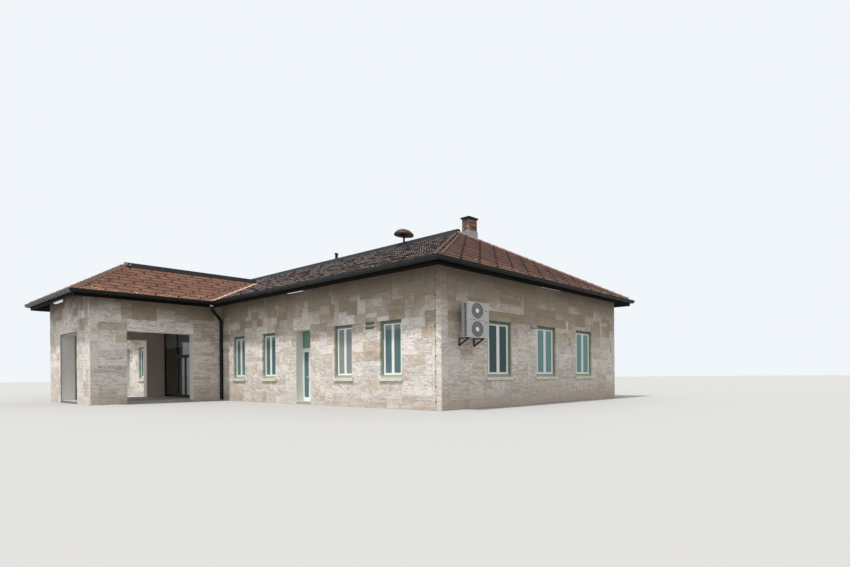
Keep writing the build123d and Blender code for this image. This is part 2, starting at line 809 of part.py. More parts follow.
with BuildPart() as chimney_stack:
    add(on_roof(chimney_side, chimney_foot, chimney_brick_high))
with BuildPart() as chimney_flashing:
    add(on_roof(flashing_side, chimney_foot, chimney_brick_low))
    with BuildSketch(Plane.XY.offset(chimney_foot)):
        with Locations((chimney_x, chimney_y)):
            Rectangle(chimney_side, chimney_side)
    extrude(amount=ridge_top, mode=Mode.SUBTRACT)
with BuildPart() as chimney_cap:
    cap_side = chimney_side + 2 * chimney_cap_ear
    with BuildSketch(Plane.XY.offset(chimney_brick_high)):
        with Locations((chimney_x, chimney_y)):
            Rectangle(cap_side, cap_side)
    extrude(amount=chimney_cap_edge)
    with BuildSketch(Plane.XY.offset(chimney_brick_high + chimney_cap_edge)):
        with Locations((chimney_x, chimney_y)):
            Rectangle(cap_side, cap_side)
    with BuildSketch(Plane.XY.offset(chimney_brick_high + chimney_cap_edge + chimney_cap_rise)):
        with Locations((chimney_x, chimney_y)):
            Rectangle(chimney_side / 2, chimney_side / 2)
    loft()

siren_low = ridge_cap_top + siren_lift
throat_low = siren_low - siren_skirt
siren_x = x_end - siren_from_end
siren_plane = Plane(origin=(siren_x, y_middle, 0), x_dir=(1, 0, 0), z_dir=(0, -1, 0))
with BuildPart() as siren:
    with BuildSketch(siren_plane):
        with BuildLine():
            Line((0, ridge_cap_top), (siren_mast_radius, ridge_cap_top))
            Line((siren_mast_radius, ridge_cap_top), (siren_mast_radius, throat_low))
            Line((siren_mast_radius, throat_low), (siren_throat_radius, throat_low))
            Line((siren_throat_radius, throat_low), (siren_throat_radius, siren_low))
            Line((siren_throat_radius, siren_low), (siren_radius, siren_low))
            Line((siren_radius, siren_low), (siren_radius, siren_low + siren_skirt))
            RadiusArc((siren_radius, siren_low + siren_skirt), (0, siren_low + siren_skirt + siren_rise),
                      -(siren_radius ** 2 + siren_rise ** 2) / (2 * siren_rise))
            Line((0, siren_low + siren_skirt + siren_rise), (0, ridge_cap_top))
        make_face()
    revolve(axis=Axis((siren_x, y_middle, 0), (0, 0, 1)))

vent_x = x_end - vent_from_end
vent_top = ridge_cap_top + vent_rise
with BuildPart() as roof_vent:
    with BuildSketch(Plane.XY.offset(ridge_cap_top)):
        with Locations((vent_x, y_middle)):
            Circle(vent_radius)
    extrude(amount=vent_top - vent_hood - ridge_cap_top)
    with BuildSketch(Plane.XY.offset(vent_top - vent_hood)):
        with Locations((vent_x, y_middle)):
            Circle(vent_hood_radius)
    extrude(amount=vent_hood, taper=vent_hood_taper)

# Air conditioner on the right end wall

ac_place = wall_place(x_end, y_front + ac_from_corner + ac_width / 2, RIGHT)
ac_front = ac_stand_off + ac_depth
fan_x = -ac_width / 2 + fan_from_side
fan_heights = [(ac_low + ac_high + side * fan_spacing) / 2 for side in (-1, 1)]
with BuildPart() as ac_unit:
    with BuildSketch(ac_place.offset(ac_stand_off)):
        with Locations((0, (ac_low + ac_high) / 2)):
            RectangleRounded(ac_width, ac_high - ac_low, ac_edge_radius)
    extrude(amount=ac_depth)
    with BuildSketch(ac_place.offset(ac_front)):
        with Locations(*[(fan_x, height) for height in fan_heights]):
            Circle(fan_radius)
    extrude(amount=-fan_recess, mode=Mode.SUBTRACT)
ring_step = (fan_radius - fan_hub) / fan_guard_rings
with BuildPart() as ac_fan_guards:
    with BuildSketch(ac_place.offset(ac_front - fan_guard_set_back)):
        with Locations(*[(fan_x, height) for height in fan_heights]):
            for ring in range(fan_guard_rings, 0, -1):
                Circle(fan_hub + ring * ring_step)
                Circle(fan_hub + ring * ring_step - fan_wire, mode=Mode.SUBTRACT)
        for height in fan_heights:
            with Locations((fan_x, height)):
                with PolarLocations((fan_hub + fan_radius - fan_wire) / 2, fan_guard_spokes):
                    Rectangle(fan_radius - fan_hub, fan_wire)
                Circle(fan_hub)
    extrude(amount=-fan_guard_thick)

brace_slope = (bracket_drop - bracket_bar) / ac_front
hole_depth = bracket_drop - 3 * bracket_bar
bracket_hole = [
    (bracket_bar, ac_low - bracket_bar), (bracket_bar + hole_depth / brace_slope, ac_low - bracket_bar),
    (bracket_bar, ac_low - bracket_bar - hole_depth)]
with BuildPart() as ac_brackets:
    for step in (0, 1):
        bracket_x = -ac_width / 2 + bracket_from_side + step * bracket_spacing
        foot = ac_place.from_local_coords(Vector(bracket_x, 0, 0))
        with BuildSketch(Plane(origin=foot, x_dir=ac_place.z_dir, z_dir=-ac_place.x_dir)):
            with BuildLine():
                Polyline((0, ac_low), (ac_front, ac_low), (ac_front, ac_low - bracket_bar),
                         (0, ac_low - bracket_drop), close=True)
            make_face()
            with BuildLine():
                Polyline(*bracket_hole, close=True)
            make_face(mode=Mode.SUBTRACT)
        extrude(amount=-bracket_width)

# Wall camera and the strip lamps under the eaves

camera_y = y_front + camera_from_corner
lamp_in = lamp_from_wall - lamp_width / 2
lamp_out = lamp_from_wall + lamp_width / 2
with BuildPart() as wall_camera:
    with BuildSketch(wall_place(x_end, camera_y, RIGHT)):
        with Locations((0, camera_height)):
            Circle(camera_foot_radius)
    extrude(amount=camera_foot)
    with BuildSketch(wall_place(x_end, camera_y, RIGHT)):
        with Locations((0, camera_height)):
            Circle(camera_arm_radius)
    extrude(amount=camera_arm)
    with BuildSketch(Plane(origin=(x_end + camera_arm, camera_y + camera_radius, camera_height),
                           z_dir=(0, -1, 0))):
        Circle(camera_radius)
    extrude(amount=camera_length)
with BuildPart() as eaves_lamps:
    add(wall_box(door_x - lamp_length / 2, door_x + lamp_length / 2, y_front - lamp_out, y_front - lamp_in,
                 lamp_bottom))
    add(wall_box(x_end + lamp_in, x_end + lamp_out, y_middle - lamp_length / 2, y_middle + lamp_length / 2,
                 lamp_bottom))
    mirror(about=Plane.YZ)
    add(wall_box(-lamp_length / 2, lamp_length / 2, y_porch - lamp_out, y_porch - lamp_in, lamp_bottom))

# Labels and files

roof_front_right.part.label = "roof_front_right"
export_step(roof_front_right.part, "parts/roof_front_right.step")
roof_front_left.part.label = "roof_front_left"
export_step(roof_front_left.part, "parts/roof_front_left.step")
roof_rear.part.label = "roof_rear"
export_step(roof_rear.part, "parts/roof_rear.step")
roof_ends.part.label = "roof_ends"
export_step(roof_ends.part, "parts/roof_ends.step")
roof_porch_right.part.label = "roof_porch_right"
export_step(roof_porch_right.part, "parts/roof_porch_right.step")
roof_porch_left.part.label = "roof_porch_left"
export_step(roof_porch_left.part, "parts/roof_porch_left.step")
roof_porch_front.part.label = "roof_porch_front"
export_step(roof_porch_front.part, "parts/roof_porch_front.step")
front_wall_right.part.label = "front_wall_right"
export_step(front_wall_right.part, "parts/front_wall_right.step")
front_wall_left.part.label = "front_wall_left"
export_step(front_wall_left.part, "parts/front_wall_left.step")
end_wall_right.part.label = "end_wall_right"
export_step(end_wall_right.part, "parts/end_wall_right.step")
end_wall_left.part.label = "end_wall_left"
export_step(end_wall_left.part, "parts/end_wall_left.step")
rear_walls.part.label = "rear_walls"
export_step(rear_walls.part, "parts/rear_walls.step")
door_lintels.part.label = "door_lintels"
export_step(door_lintels.part, "parts/door_lintels.step")
porch_front_piers.part.label = "porch_front_piers"
export_step(porch_front_piers.part, "parts/porch_front_piers.step")
porch_rear_piers.part.label = "porch_rear_piers"
export_step(porch_rear_piers.part, "parts/porch_rear_piers.step")
porch_lintels.part.label = "porch_lintels"
export_step(porch_lintels.part, "parts/porch_lintels.step")
thresholds.part.label = "thresholds"
export_step(thresholds.part, "parts/thresholds.step")
hall_floor.part.label = "hall_floor"
export_step(hall_floor.part, "parts/hall_floor.step")
porch_floor.part.label = "porch_floor"
export_step(porch_floor.part, "parts/porch_floor.step")
hall_ceiling.part.label = "hall_ceiling"
export_step(hall_ceiling.part, "parts/hall_ceiling.step")
porch_ceiling.part.label = "porch_ceiling"
export_step(porch_ceiling.part, "parts/porch_ceiling.step")
window_linings.part.label = "window_linings"
export_step(window_linings.part, "parts/window_linings.step")
window_sashes.part.label = "window_sashes"
export_step(window_sashes.part, "parts/window_sashes.step")
window_glass.part.label = "window_glass"
export_step(window_glass.part, "parts/window_glass.step")
window_sills.part.label = "window_sills"
export_step(window_sills.part, "parts/window_sills.step")
street_door_frames.part.label = "street_door_frames"
export_step(street_door_frames.part, "parts/street_door_frames.step")
street_door_right_outer_leaf.part.label = "street_door_right_outer_leaf"
export_step(street_door_right_outer_leaf.part, "parts/street_door_right_outer_leaf.step")
street_door_right_inner_leaf.part.label = "street_door_right_inner_leaf"
export_step(street_door_right_inner_leaf.part, "parts/street_door_right_inner_leaf.step")
street_door_left_outer_leaf.part.label = "street_door_left_outer_leaf"
export_step(street_door_left_outer_leaf.part, "parts/street_door_left_outer_leaf.step")
street_door_left_inner_leaf.part.label = "street_door_left_inner_leaf"
export_step(street_door_left_inner_leaf.part, "parts/street_door_left_inner_leaf.step")
street_door_right_outer_glass.part.label = "street_door_right_outer_glass"
export_step(street_door_right_outer_glass.part, "parts/street_door_right_outer_glass.step")
street_door_right_inner_glass.part.label = "street_door_right_inner_glass"
export_step(street_door_right_inner_glass.part, "parts/street_door_right_inner_glass.step")
street_door_left_outer_glass.part.label = "street_door_left_outer_glass"
export_step(street_door_left_outer_glass.part, "parts/street_door_left_outer_glass.step")
street_door_left_inner_glass.part.label = "street_door_left_inner_glass"
export_step(street_door_left_inner_glass.part, "parts/street_door_left_inner_glass.step")
entrance_screen.part.label = "entrance_screen"
export_step(entrance_screen.part, "parts/entrance_screen.step")
entrance_screen_glass.part.label = "entrance_screen_glass"
export_step(entrance_screen_glass.part, "parts/entrance_screen_glass.step")
entrance_leaf_right.part.label = "entrance_leaf_right"
export_step(entrance_leaf_right.part, "parts/entrance_leaf_right.step")
entrance_leaf_left.part.label = "entrance_leaf_left"
export_step(entrance_leaf_left.part, "parts/entrance_leaf_left.step")
entrance_glass_right.part.label = "entrance_glass_right"
export_step(entrance_glass_right.part, "parts/entrance_glass_right.step")
entrance_glass_left.part.label = "entrance_glass_left"
export_step(entrance_glass_left.part, "parts/entrance_glass_left.step")
platform_screen.part.label = "platform_screen"
export_step(platform_screen.part, "parts/platform_screen.step")
platform_screen_glass.part.label = "platform_screen_glass"
export_step(platform_screen_glass.part, "parts/platform_screen_glass.step")
ridge_caps.part.label = "ridge_caps"
export_step(ridge_caps.part, "parts/ridge_caps.step")
hip_tiles.part.label = "hip_tiles"
export_step(hip_tiles.part, "parts/hip_tiles.step")
gutters_long.part.label = "gutters_long"
export_step(gutters_long.part, "parts/gutters_long.step")
gutters_cross.part.label = "gutters_cross"
export_step(gutters_cross.part, "parts/gutters_cross.step")
downpipes.part.label = "downpipes"
export_step(downpipes.part, "parts/downpipes.step")
chimney_stack.part.label = "chimney_stack"
export_step(chimney_stack.part, "parts/chimney_stack.step")
chimney_flashing.part.label = "chimney_flashing"
export_step(chimney_flashing.part, "parts/chimney_flashing.step")
chimney_cap.part.label = "chimney_cap"
export_step(chimney_cap.part, "parts/chimney_cap.step")
siren.part.label = "siren"
export_step(siren.part, "parts/siren.step")
roof_vent.part.label = "roof_vent"
export_step(roof_vent.part, "parts/roof_vent.step")
ac_unit.part.label = "ac_unit"
export_step(ac_unit.part, "parts/ac_unit.step")
ac_fan_guards.part.label = "ac_fan_guards"
export_step(ac_fan_guards.part, "parts/ac_fan_guards.step")
ac_brackets.part.label = "ac_brackets"
export_step(ac_brackets.part, "parts/ac_brackets.step")
wall_camera.part.label = "wall_camera"
export_step(wall_camera.part, "parts/wall_camera.step")
eaves_lamps.part.label = "eaves_lamps"
export_step(eaves_lamps.part, "parts/eaves_lamps.step")
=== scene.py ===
# Railway station building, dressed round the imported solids. Metres, street side towards -Y.
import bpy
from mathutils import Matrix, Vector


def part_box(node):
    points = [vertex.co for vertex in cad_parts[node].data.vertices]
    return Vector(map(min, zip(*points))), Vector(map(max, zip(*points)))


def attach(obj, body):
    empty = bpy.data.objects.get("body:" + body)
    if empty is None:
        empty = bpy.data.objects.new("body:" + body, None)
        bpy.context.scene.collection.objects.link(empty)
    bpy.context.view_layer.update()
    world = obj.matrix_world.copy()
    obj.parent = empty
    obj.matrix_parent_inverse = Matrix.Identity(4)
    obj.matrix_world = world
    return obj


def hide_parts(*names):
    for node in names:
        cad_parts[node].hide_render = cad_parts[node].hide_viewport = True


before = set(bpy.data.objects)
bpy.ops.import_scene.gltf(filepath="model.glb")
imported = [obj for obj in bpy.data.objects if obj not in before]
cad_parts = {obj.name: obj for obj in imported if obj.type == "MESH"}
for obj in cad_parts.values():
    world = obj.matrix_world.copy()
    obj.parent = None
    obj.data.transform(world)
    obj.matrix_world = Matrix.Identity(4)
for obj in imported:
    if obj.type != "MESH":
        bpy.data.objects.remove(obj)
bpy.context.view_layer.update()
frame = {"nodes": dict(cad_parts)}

import fnmatch
import functools
import math
import random

import bmesh
import bpy
import numpy as np
from mathutils import Matrix, Vector

bpy.ops.object.select_all(action="DESELECT")
BUILDING = "building"
UP = Vector((0, 0, 1))
STREET, PLATFORM = Vector((0, -1, 0)), Vector((0, 1, 0))
RIGHT, LEFT = Vector((1, 0, 0)), Vector((-1, 0, 0))

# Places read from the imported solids


def low(node):
    """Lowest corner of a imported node."""
    return Vector(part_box(node)[0])


def high(node):
    """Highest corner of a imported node."""
    return Vector(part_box(node)[1])


roof_thick = 0.27
overhang = 0.54
wall_thick = 0.45

x_end = high("end_wall_right").x
x_porch = low("front_wall_right").x
y_front = low("front_wall_right").y
y_rear = high("rear_walls").y
y_porch = low("porch_front_piers").y
y_middle = (y_front + y_rear) / 2
x_eave = high("roof_rear").x
y_rear_eave = high("roof_rear").y
y_eave = y_front - overhang
x_porch_eave = high("roof_porch_front").x
y_porch_eave = low("roof_porch_front").y
eave_z = low("roof_rear").z + roof_thick
ridge_z = high("roof_rear").z
porch_ridge_z = high("roof_porch_front").z
x_ridge_end = high("ridge_caps").x
y_porch_ridge = low("ridge_caps").y
main_run = y_middle - y_eave
main_slope = (ridge_z - eave_z) / main_run
end_run = x_eave - x_ridge_end
end_slope = (ridge_z - eave_z) / end_run
porch_slope = (porch_ridge_z - eave_z) / x_porch_eave
hip_run = y_porch_ridge - y_porch_eave
hip_slope = (porch_ridge_z - eave_z) / hip_run
valley_run = (porch_ridge_z - eave_z) / main_slope
soffit_at_wall = eave_z - roof_thick + overhang * main_slope

# Openings in the walls
window_width = 1.155
window_foot = low("window_sills").z
window_head = high("window_linings").z
door_width = 1.13
porch_head = low("porch_lintels").z
first_bay = 2.48
street_bay = 2.78
end_bay = 2.5
door_x = x_end - first_bay - 2 * street_bay
bay_xs = [x_end - first_bay - i * street_bay for i in range(5)]
street_window_xs = [x for x in bay_xs if abs(x - door_x) > window_width]
end_window_ys = [y_middle + i * end_bay for i in (-1, 0, 1)]
side_opening_rear = y_front - 1.12
side_opening_front = side_opening_rear - 2.27
porch_front_half = 1.34
platform_screen_half = x_porch - wall_thick

# Stone facing
stone_proud = 0.006
reveal = 0.06
sawn_tone = -1
cell_pitch = 0.16
stone_joint = 0.009
stone_uneven = 0.003
quoin_width = 0.25
quoin_tone, quoin_tone_range = 0.1, 0.25
lintel_band = 0.5
lintel_tone_range = 0.2
opening_clear = 0.006
wall_top = soffit_at_wall - 0.008

# Node expressions for the finishes


class Value:
    """A shader socket that can be written in sums and products, and that feeds further nodes."""

    def __init__(self, finish, socket):
        self.finish = finish
        self.socket = socket

    def combine(self, operation, first, second):
        return self.finish.node("ShaderNodeMath", {"operation": operation}, {0: first, 1: second})

    def __add__(self, other):
        return self.combine("ADD", self, other)

    __radd__ = __add__

    def __sub__(self, other):
        return self.combine("SUBTRACT", self, other)

    def __rsub__(self, other):
        return self.combine("SUBTRACT", other, self)

    def __mul__(self, other):
        return self.combine("MULTIPLY", self, other)

    __rmul__ = __mul__

    def __abs__(self):
        return self.combine("ABSOLUTE", self, 0.0)

    def at_least(self, other):
        return self.combine("MAXIMUM", self, other)

    def part(self, axis):
        return self.finish.node("ShaderNodeSeparateXYZ", None, {0: self}, axis)

    def stretch(self, scale, shift=(0, 0, 0)):
        return self.finish.node("ShaderNodeMapping", None,
                                {"Vector": self, "Scale": scale, "Location": shift})

    def noise(self, scale, detail=3.0, roughness=0.5, distortion=0.0):
        return self.finish.node("ShaderNodeTexNoise", None, {
            "Vector": self, "Scale": scale, "Detail": detail, "Roughness": roughness,
            "Distortion": distortion}, "Fac")

    def ramp(self, stops):
        return self.finish.node("ShaderNodeValToRGB", {"stops": stops}, {0: self})

    def mask(self, start, stop):
        """Rises from 0 to 1 while the value goes from start to stop."""
        return self.finish.node("ShaderNodeMapRange", None, {
            "Value": self, "From Min": start, "From Max": stop, "To Min": 0.0, "To Max": 1.0})

    def tint(self, color, start, stop, strength, towards):
        """Mixes another colour into one, where the value has passed from start to stop."""
        return self.finish.mix(self.mask(start, stop) * strength, color, towards)

    def bump(self, distance, strength=1.0):
        return self.finish.node("ShaderNodeBump", None,
                                {"Height": self, "Distance": distance, "Strength": strength})


class Finish:
    """A material, or the world, written as node expressions."""

    def __init__(self, name, owners=bpy.data.materials):
        self.owner = owners.new(name)
        self.owner.use_nodes = True
        self.tree = self.owner.node_tree
        self.tree.nodes.clear()

    def node(self, kind, settings=None, inputs=None, output=0):
        """Adds a node, sets it, then feeds its sockets, and gives one of its outputs."""
        made = self.tree.nodes.new(kind)
        for setting, value in (settings or {}).items():
            if setting == "stops":
                self.set_stops(made.color_ramp.elements, value)
            else:
                setattr(made, setting, value)
        for socket, value in (inputs or {}).items():
            if isinstance(value, Value):
                self.tree.links.new(value.socket, made.inputs[socket])
            else:
                made.inputs[socket].default_value = value
        return Value(self, made.outputs[output] if len(made.outputs) else None)

    @staticmethod
    def set_stops(elements, stops):
        while len(elements) < len(stops):
            elements.new(0.5)
        for element, (position, color) in zip(elements, stops):
            element.position = position
            element.color = (*color, 1)

    @functools.cached_property
    def place(self):
        return self.node("ShaderNodeTexCoord", output="Object")

    def uv(self, name):
        return self.node("ShaderNodeUVMap", {"uv_map": name})

    def mix(self, factor, first, second, blend="MIX"):
        def full(color):
            return (*color, 1) if isinstance(color, tuple) else color
        return self.node("ShaderNodeMix", {"data_type": "RGBA", "blend_type": blend},
                         {0: factor, 6: full(first), 7: full(second)}, 2)

    def surface(self, color, roughness, metallic=0.0, normal=None, **fixed):
        """Ends the finish in a principled surface. Fixed sockets are named with underscores."""
        inputs = {"Base Color": color, "Roughness": roughness, "Metallic": metallic}
        if normal is not None:
            inputs["Normal"] = normal
        inputs.update({name.replace("_", " "): value for name, value in fixed.items()})
        return self.end("ShaderNodeOutputMaterial", self.node("ShaderNodeBsdfPrincipled", None, inputs))

    def end(self, kind, shader):
        self.node(kind, None, {"Surface": shader})
        return self.owner


def veined_stone():
    """Cream slabs cut from a streaked bed, each with its own tone and its own turn of the veins."""
    finish = Finish("veined_stone")
    slab, bed = finish.uv("slab"), finish.uv("bed")
    tone, lively = slab.part(0), slab.part(1)
    across, height = abs(finish.place.part(0)), finish.place.part(2)
    patches = bed.noise(2.3, 2.0)
    streaks = bed.stretch((0.9, 5.4, 1)).noise(1.5, 5.0, 0.58, 1.7)
    veins = bed.stretch((1.2, 5.6, 1), (7, 3, 0)).noise(1.2, 4.0, 0.55, 2.2)
    fine = bed.stretch((2.0, 24.0, 1)).noise(2.1, 4.0, 0.6, 0.5)
    mottled = bed.noise(13.0, 5.0, 0.68)
    smudge = bed.stretch((1, 2.4, 1), (31, 17, 0)).noise(3.2, 4.0, 0.6)
    stains = finish.place.noise(0.7, 3.0, 0.6)
    brown = streaks.mask(0.485, 0.42) * lively.mask(0.1, 0.7)
    lines = abs(veins - 0.5).mask(0.026, 0.008) * patches.mask(0.4, 0.52)
    pits = bed.stretch((3, 12, 1)).noise(9.0, 3.0).mask(0.36, 0.3)
    color = tone.ramp([
        (0.0, (0.85, 0.81, 0.77)), (0.2, (0.77, 0.73, 0.69)), (0.4, (0.69, 0.645, 0.61)),
        (0.56, (0.6, 0.58, 0.57)), (0.68, (0.74, 0.66, 0.58)), (0.8, (0.56, 0.52, 0.48)),
        (0.92, (0.62, 0.52, 0.41)), (1.0, (0.42, 0.36, 0.3))])
    color = streaks.tint(color, 0.52, 0.58, 0.5, (0.85, 0.81, 0.77))
    color = finish.mix(brown * 0.6, color, (0.44, 0.37, 0.31))
    color = patches.tint(color, 0.55, 0.72, 0.25, (0.68, 0.56, 0.45))
    color = fine.tint(color, 0.56, 0.66, 0.35, (0.44, 0.385, 0.335))
    color = mottled.tint(color, 0.54, 0.7, 0.25, (0.46, 0.41, 0.37))
    color = mottled.tint(color, 0.45, 0.33, 0.3, (0.8, 0.765, 0.725))
    color = finish.mix(lines * 0.85, color, (0.26, 0.205, 0.16))
    color = smudge.tint(color, 0.6, 0.7, 0.5, (0.48, 0.36, 0.24))
    color = finish.mix(pits * 0.5, color, (0.34, 0.29, 0.25))
    end_side = across.mask(x_end, x_end + stone_proud)
    porch_side = across.mask(x_porch + 0.1, x_porch + 0.02)
    # Darker and browner towards the eaves: painted shade under the eaves together with stains; stronger on
    # the end walls, weaker on the porch walls
    eave_shade_and_stains = height + stains * 2.0 + tone * 0.9 + end_side * 0.25 - porch_side * 0.5
    color = eave_shade_and_stains.tint(color, 3.98, 5.15, 0.82, (0.25, 0.19, 0.125))
    # Painted shade: the end walls are made darker and browner all over
    color = finish.mix(end_side * 0.14, color, (0.4, 0.31, 0.24))
    # Darker and warmer towards the foot, more on the end walls
    darker_foot = (height + patches * 0.5).mask(1.2, 0.2)
    color = finish.mix(darker_foot * (end_side * 0.4 + 0.35), color, (0.42, 0.335, 0.275))
    color = finish.mix(tone.mask(0.0, sawn_tone / 2), color, (0.84, 0.82, 0.81))
    relief = fine * 0.4 + streaks * 0.6 + mottled * 0.3 - pits * 0.5 - lines * 0.3
    return finish.surface(color, 0.62 + mottled * 0.2, normal=relief.bump(0.005, 0.7))


def clay_tile(name, body, crest_glint, nose_shade):
    """Interlocking tiles, each a little different, with painted shade under the nose and in the gaps, and
    painted glints on the crest near the nose.
    """
    finish = Finish(name)
    tile, spot = finish.uv("tile"), finish.uv("spot")
    tone, climb = tile.part(0), tile.part(1)
    across, up = abs(spot.part(0) - 0.5), spot.part(1)

    def body_times(factor):
        return tuple(channel * factor for channel in body)

    soot = finish.place.noise(1.3, 5.0, 0.65)
    speckle = finish.place.noise(38.0, 3.0, 0.6)
    crest = abs(across - 0.25).mask(0.1, 0.05) * up.mask(0.16, 0.1)
    patches = finish.place.noise(15.0, 4.0, 0.65)
    growth = patches.mask(0.52, 0.64) * soot.mask(0.45, 0.6)
    color = tone.ramp([(position, body_times(factor)) for position, factor in (
        (0.0, 0.78), (0.35, 0.95), (0.65, 1.08), (0.88, 1.22), (1.0, 0.85))])
    color = soot.tint(color, 0.42, 0.7, 0.5, body_times(0.5))
    color = speckle.tint(color, 0.56, 0.68, 0.35, body_times(1.7))
    # Painted highlight: glints on each tile's crest near its nose
    color = finish.mix(crest * crest_glint * tone.mask(0.1, 0.7), color, (0.68, 0.54, 0.48))
    # Painted shade in the gaps between neighbouring tiles
    color = across.tint(color, 0.465, 0.485, 0.5, body_times(0.25))
    color = finish.mix(growth * climb.mask(0.09, 0.0) * 0.8, color, (0.5, 0.33, 0.16))
    # Painted shade on the nose face under each tile
    color = up.tint(color, -0.02, -0.2, nose_shade, body_times(0.08))
    return finish.surface(color, 0.74 + speckle * 0.15, normal=(speckle + soot).bump(0.0025, 0.6),
                          Specular_IOR_Level=0.1)


def rounded_clay():
    """Brown clay of the hip tiles, paler pink on their steep flanks along both feet."""
    finish = Finish("rounded_clay")
    cloud = finish.place.noise(3.4, 4.0, 0.6)
    grain = finish.place.noise(46.0, 3.0)
    facing_up = finish.node("ShaderNodeTexCoord", output="Normal").part(2)
    color = cloud.ramp([
        (0.3, (0.075, 0.04, 0.03)), (0.5, (0.105, 0.056, 0.042)), (0.7, (0.15, 0.085, 0.066))])
    color = grain.tint(color, 0.57, 0.68, 0.4, (0.24, 0.19, 0.15))
    # Paler pink on the steep flanks of each tile
    color = facing_up.tint(color, 0.6, 0.42, 0.7, (0.5, 0.37, 0.32))
    return finish.surface(color, 0.78, normal=grain.bump(0.002))


def grained(name, stops, scale, roughness, flecks=None):
    """Stone or mortar with cloudy tones and sandy grain."""
    finish = Finish(name)
    grain = finish.place.noise(scale, 3.0)
    color = (finish.place.noise(1.8, 4.0, 0.6) if flecks else grain).ramp(stops)
    if flecks:
        color = grain.tint(color, 0.55, 0.7, 0.25, flecks)
    return finish.surface(color, roughness, normal=grain.bump(0.0015))


def coated_sheet(name, color, worn, roughness=0.5, metallic=0.0):
    """Coated metal sheet with dust and slight waves."""
    finish = Finish(name)
    dust = finish.place.noise(5.0, 5.0, 0.65)
    streak = finish.place.stretch((9, 9, 1.2)).noise(1.6, 4.0)
    shade = dust.tint(color, 0.5, 0.75, 0.5, worn)
    shade = streak.tint(shade, 0.58, 0.72, 0.3, worn)
    waves = finish.place.noise(2.2, 2.0).bump(0.002, 0.5)
    return finish.surface(shade, roughness + dust * 0.22, metallic, waves, Specular_IOR_Level=0.22)


def painted(name, color, faded, roughness=0.45, glow=0.0):
    """Brushed or sprayed paint, faded unevenly, with faint grain, and a painted glow where one is given."""
    finish = Finish(name)
    fade = finish.place.noise(2.6, 4.0, 0.6)
    grain = finish.place.stretch((40, 40, 7)).noise(2.0, 3.0)
    shade = fade.tint(color, 0.4, 0.72, 0.6, faded)
    shade = grain.tint(shade, 0.6, 0.75, 0.2, faded)
    return finish.surface(shade, roughness + fade * 0.15, normal=grain.bump(0.0006, 0.6),
                          # The glow is painted light, not a lit lamp
                          Emission_Color=(1, 1, 1, 1), Emission_Strength=glow)


def sage_lining():
    """Green paint of the window linings, paler towards the foot, with painted shade at the head."""
    finish = Finish("sage_lining")
    height = finish.place.part(2)
    fade = finish.place.noise(2.6, 4.0, 0.6)
    grain = finish.place.stretch((40, 40, 7)).noise(2.0, 3.0)
    shade = fade.tint((0.125, 0.185, 0.11), 0.4, 0.72, 0.5, (0.19, 0.255, 0.17))
    # Paler towards the foot
    shade = height.tint(shade, window_foot + 0.28, window_foot + 0.12, 0.7, (0.42, 0.5, 0.39))
    # Painted shade at the head of the lining
    shade = height.tint(shade, window_head - 0.12, window_head - 0.06, 0.45, (0.06, 0.1, 0.05))
    return finish.surface(shade, 0.5 + fade * 0.15, normal=grain.bump(0.0006, 0.6))


def plaster(name, color, stained, bedding=None):
    """Smooth painted plaster with trowel marks, and sandy bedding on the faces that the stones cover."""
    finish = Finish(name)
    stain = finish.place.noise(0.9, 5.0, 0.62)
    grain = finish.place.noise(85.0, 3.0)
    shade = stain.tint(color, 0.42, 0.75, 0.5, stained)
    if bedding:
        across, along = abs(finish.place.part(0)), finish.place.part(1)
        skin = 0.01

        def outer_skin(value, face, inward):
            return value.mask(face + inward * skin, face + inward * skin / 2)

        street = outer_skin(along, y_front, 1) * outer_skin(across, x_porch, -1)
        outside = outer_skin(along, y_porch, 1).at_least(street).at_least(
            outer_skin(along, y_rear, -1)).at_least(outer_skin(across, x_end, -1))
        shade = finish.mix(outside, shade, bedding)
    return finish.surface(shade, 0.85, normal=(grain + stain).bump(0.0018, 0.7))


def paving():
    """Grey floor slabs, worn along the way in."""
    finish = Finish("paving")
    joints = finish.node("ShaderNodeTexBrick", {"offset": 0.5}, {
        "Vector": finish.place, "Color1": (1, 1, 1, 1), "Color2": (0.86, 0.86, 0.86, 1),
        "Mortar": (0, 0, 0, 1), "Scale": 1.0, "Mortar Size": 0.006, "Brick Width": 0.6, "Row Height": 0.4})
    speck = finish.place.noise(55.0, 4.0, 0.6)
    wear = finish.place.noise(0.8, 4.0)
    shade = wear.tint((0.36, 0.35, 0.33), 0.4, 0.7, 0.6, (0.46, 0.45, 0.42))
    shade = speck.tint(shade, 0.55, 0.68, 0.4, (0.25, 0.24, 0.23))
    shade = finish.mix(0.6, shade, joints, "MULTIPLY")
    return finish.surface(shade, 0.8, normal=speck.bump(0.001))


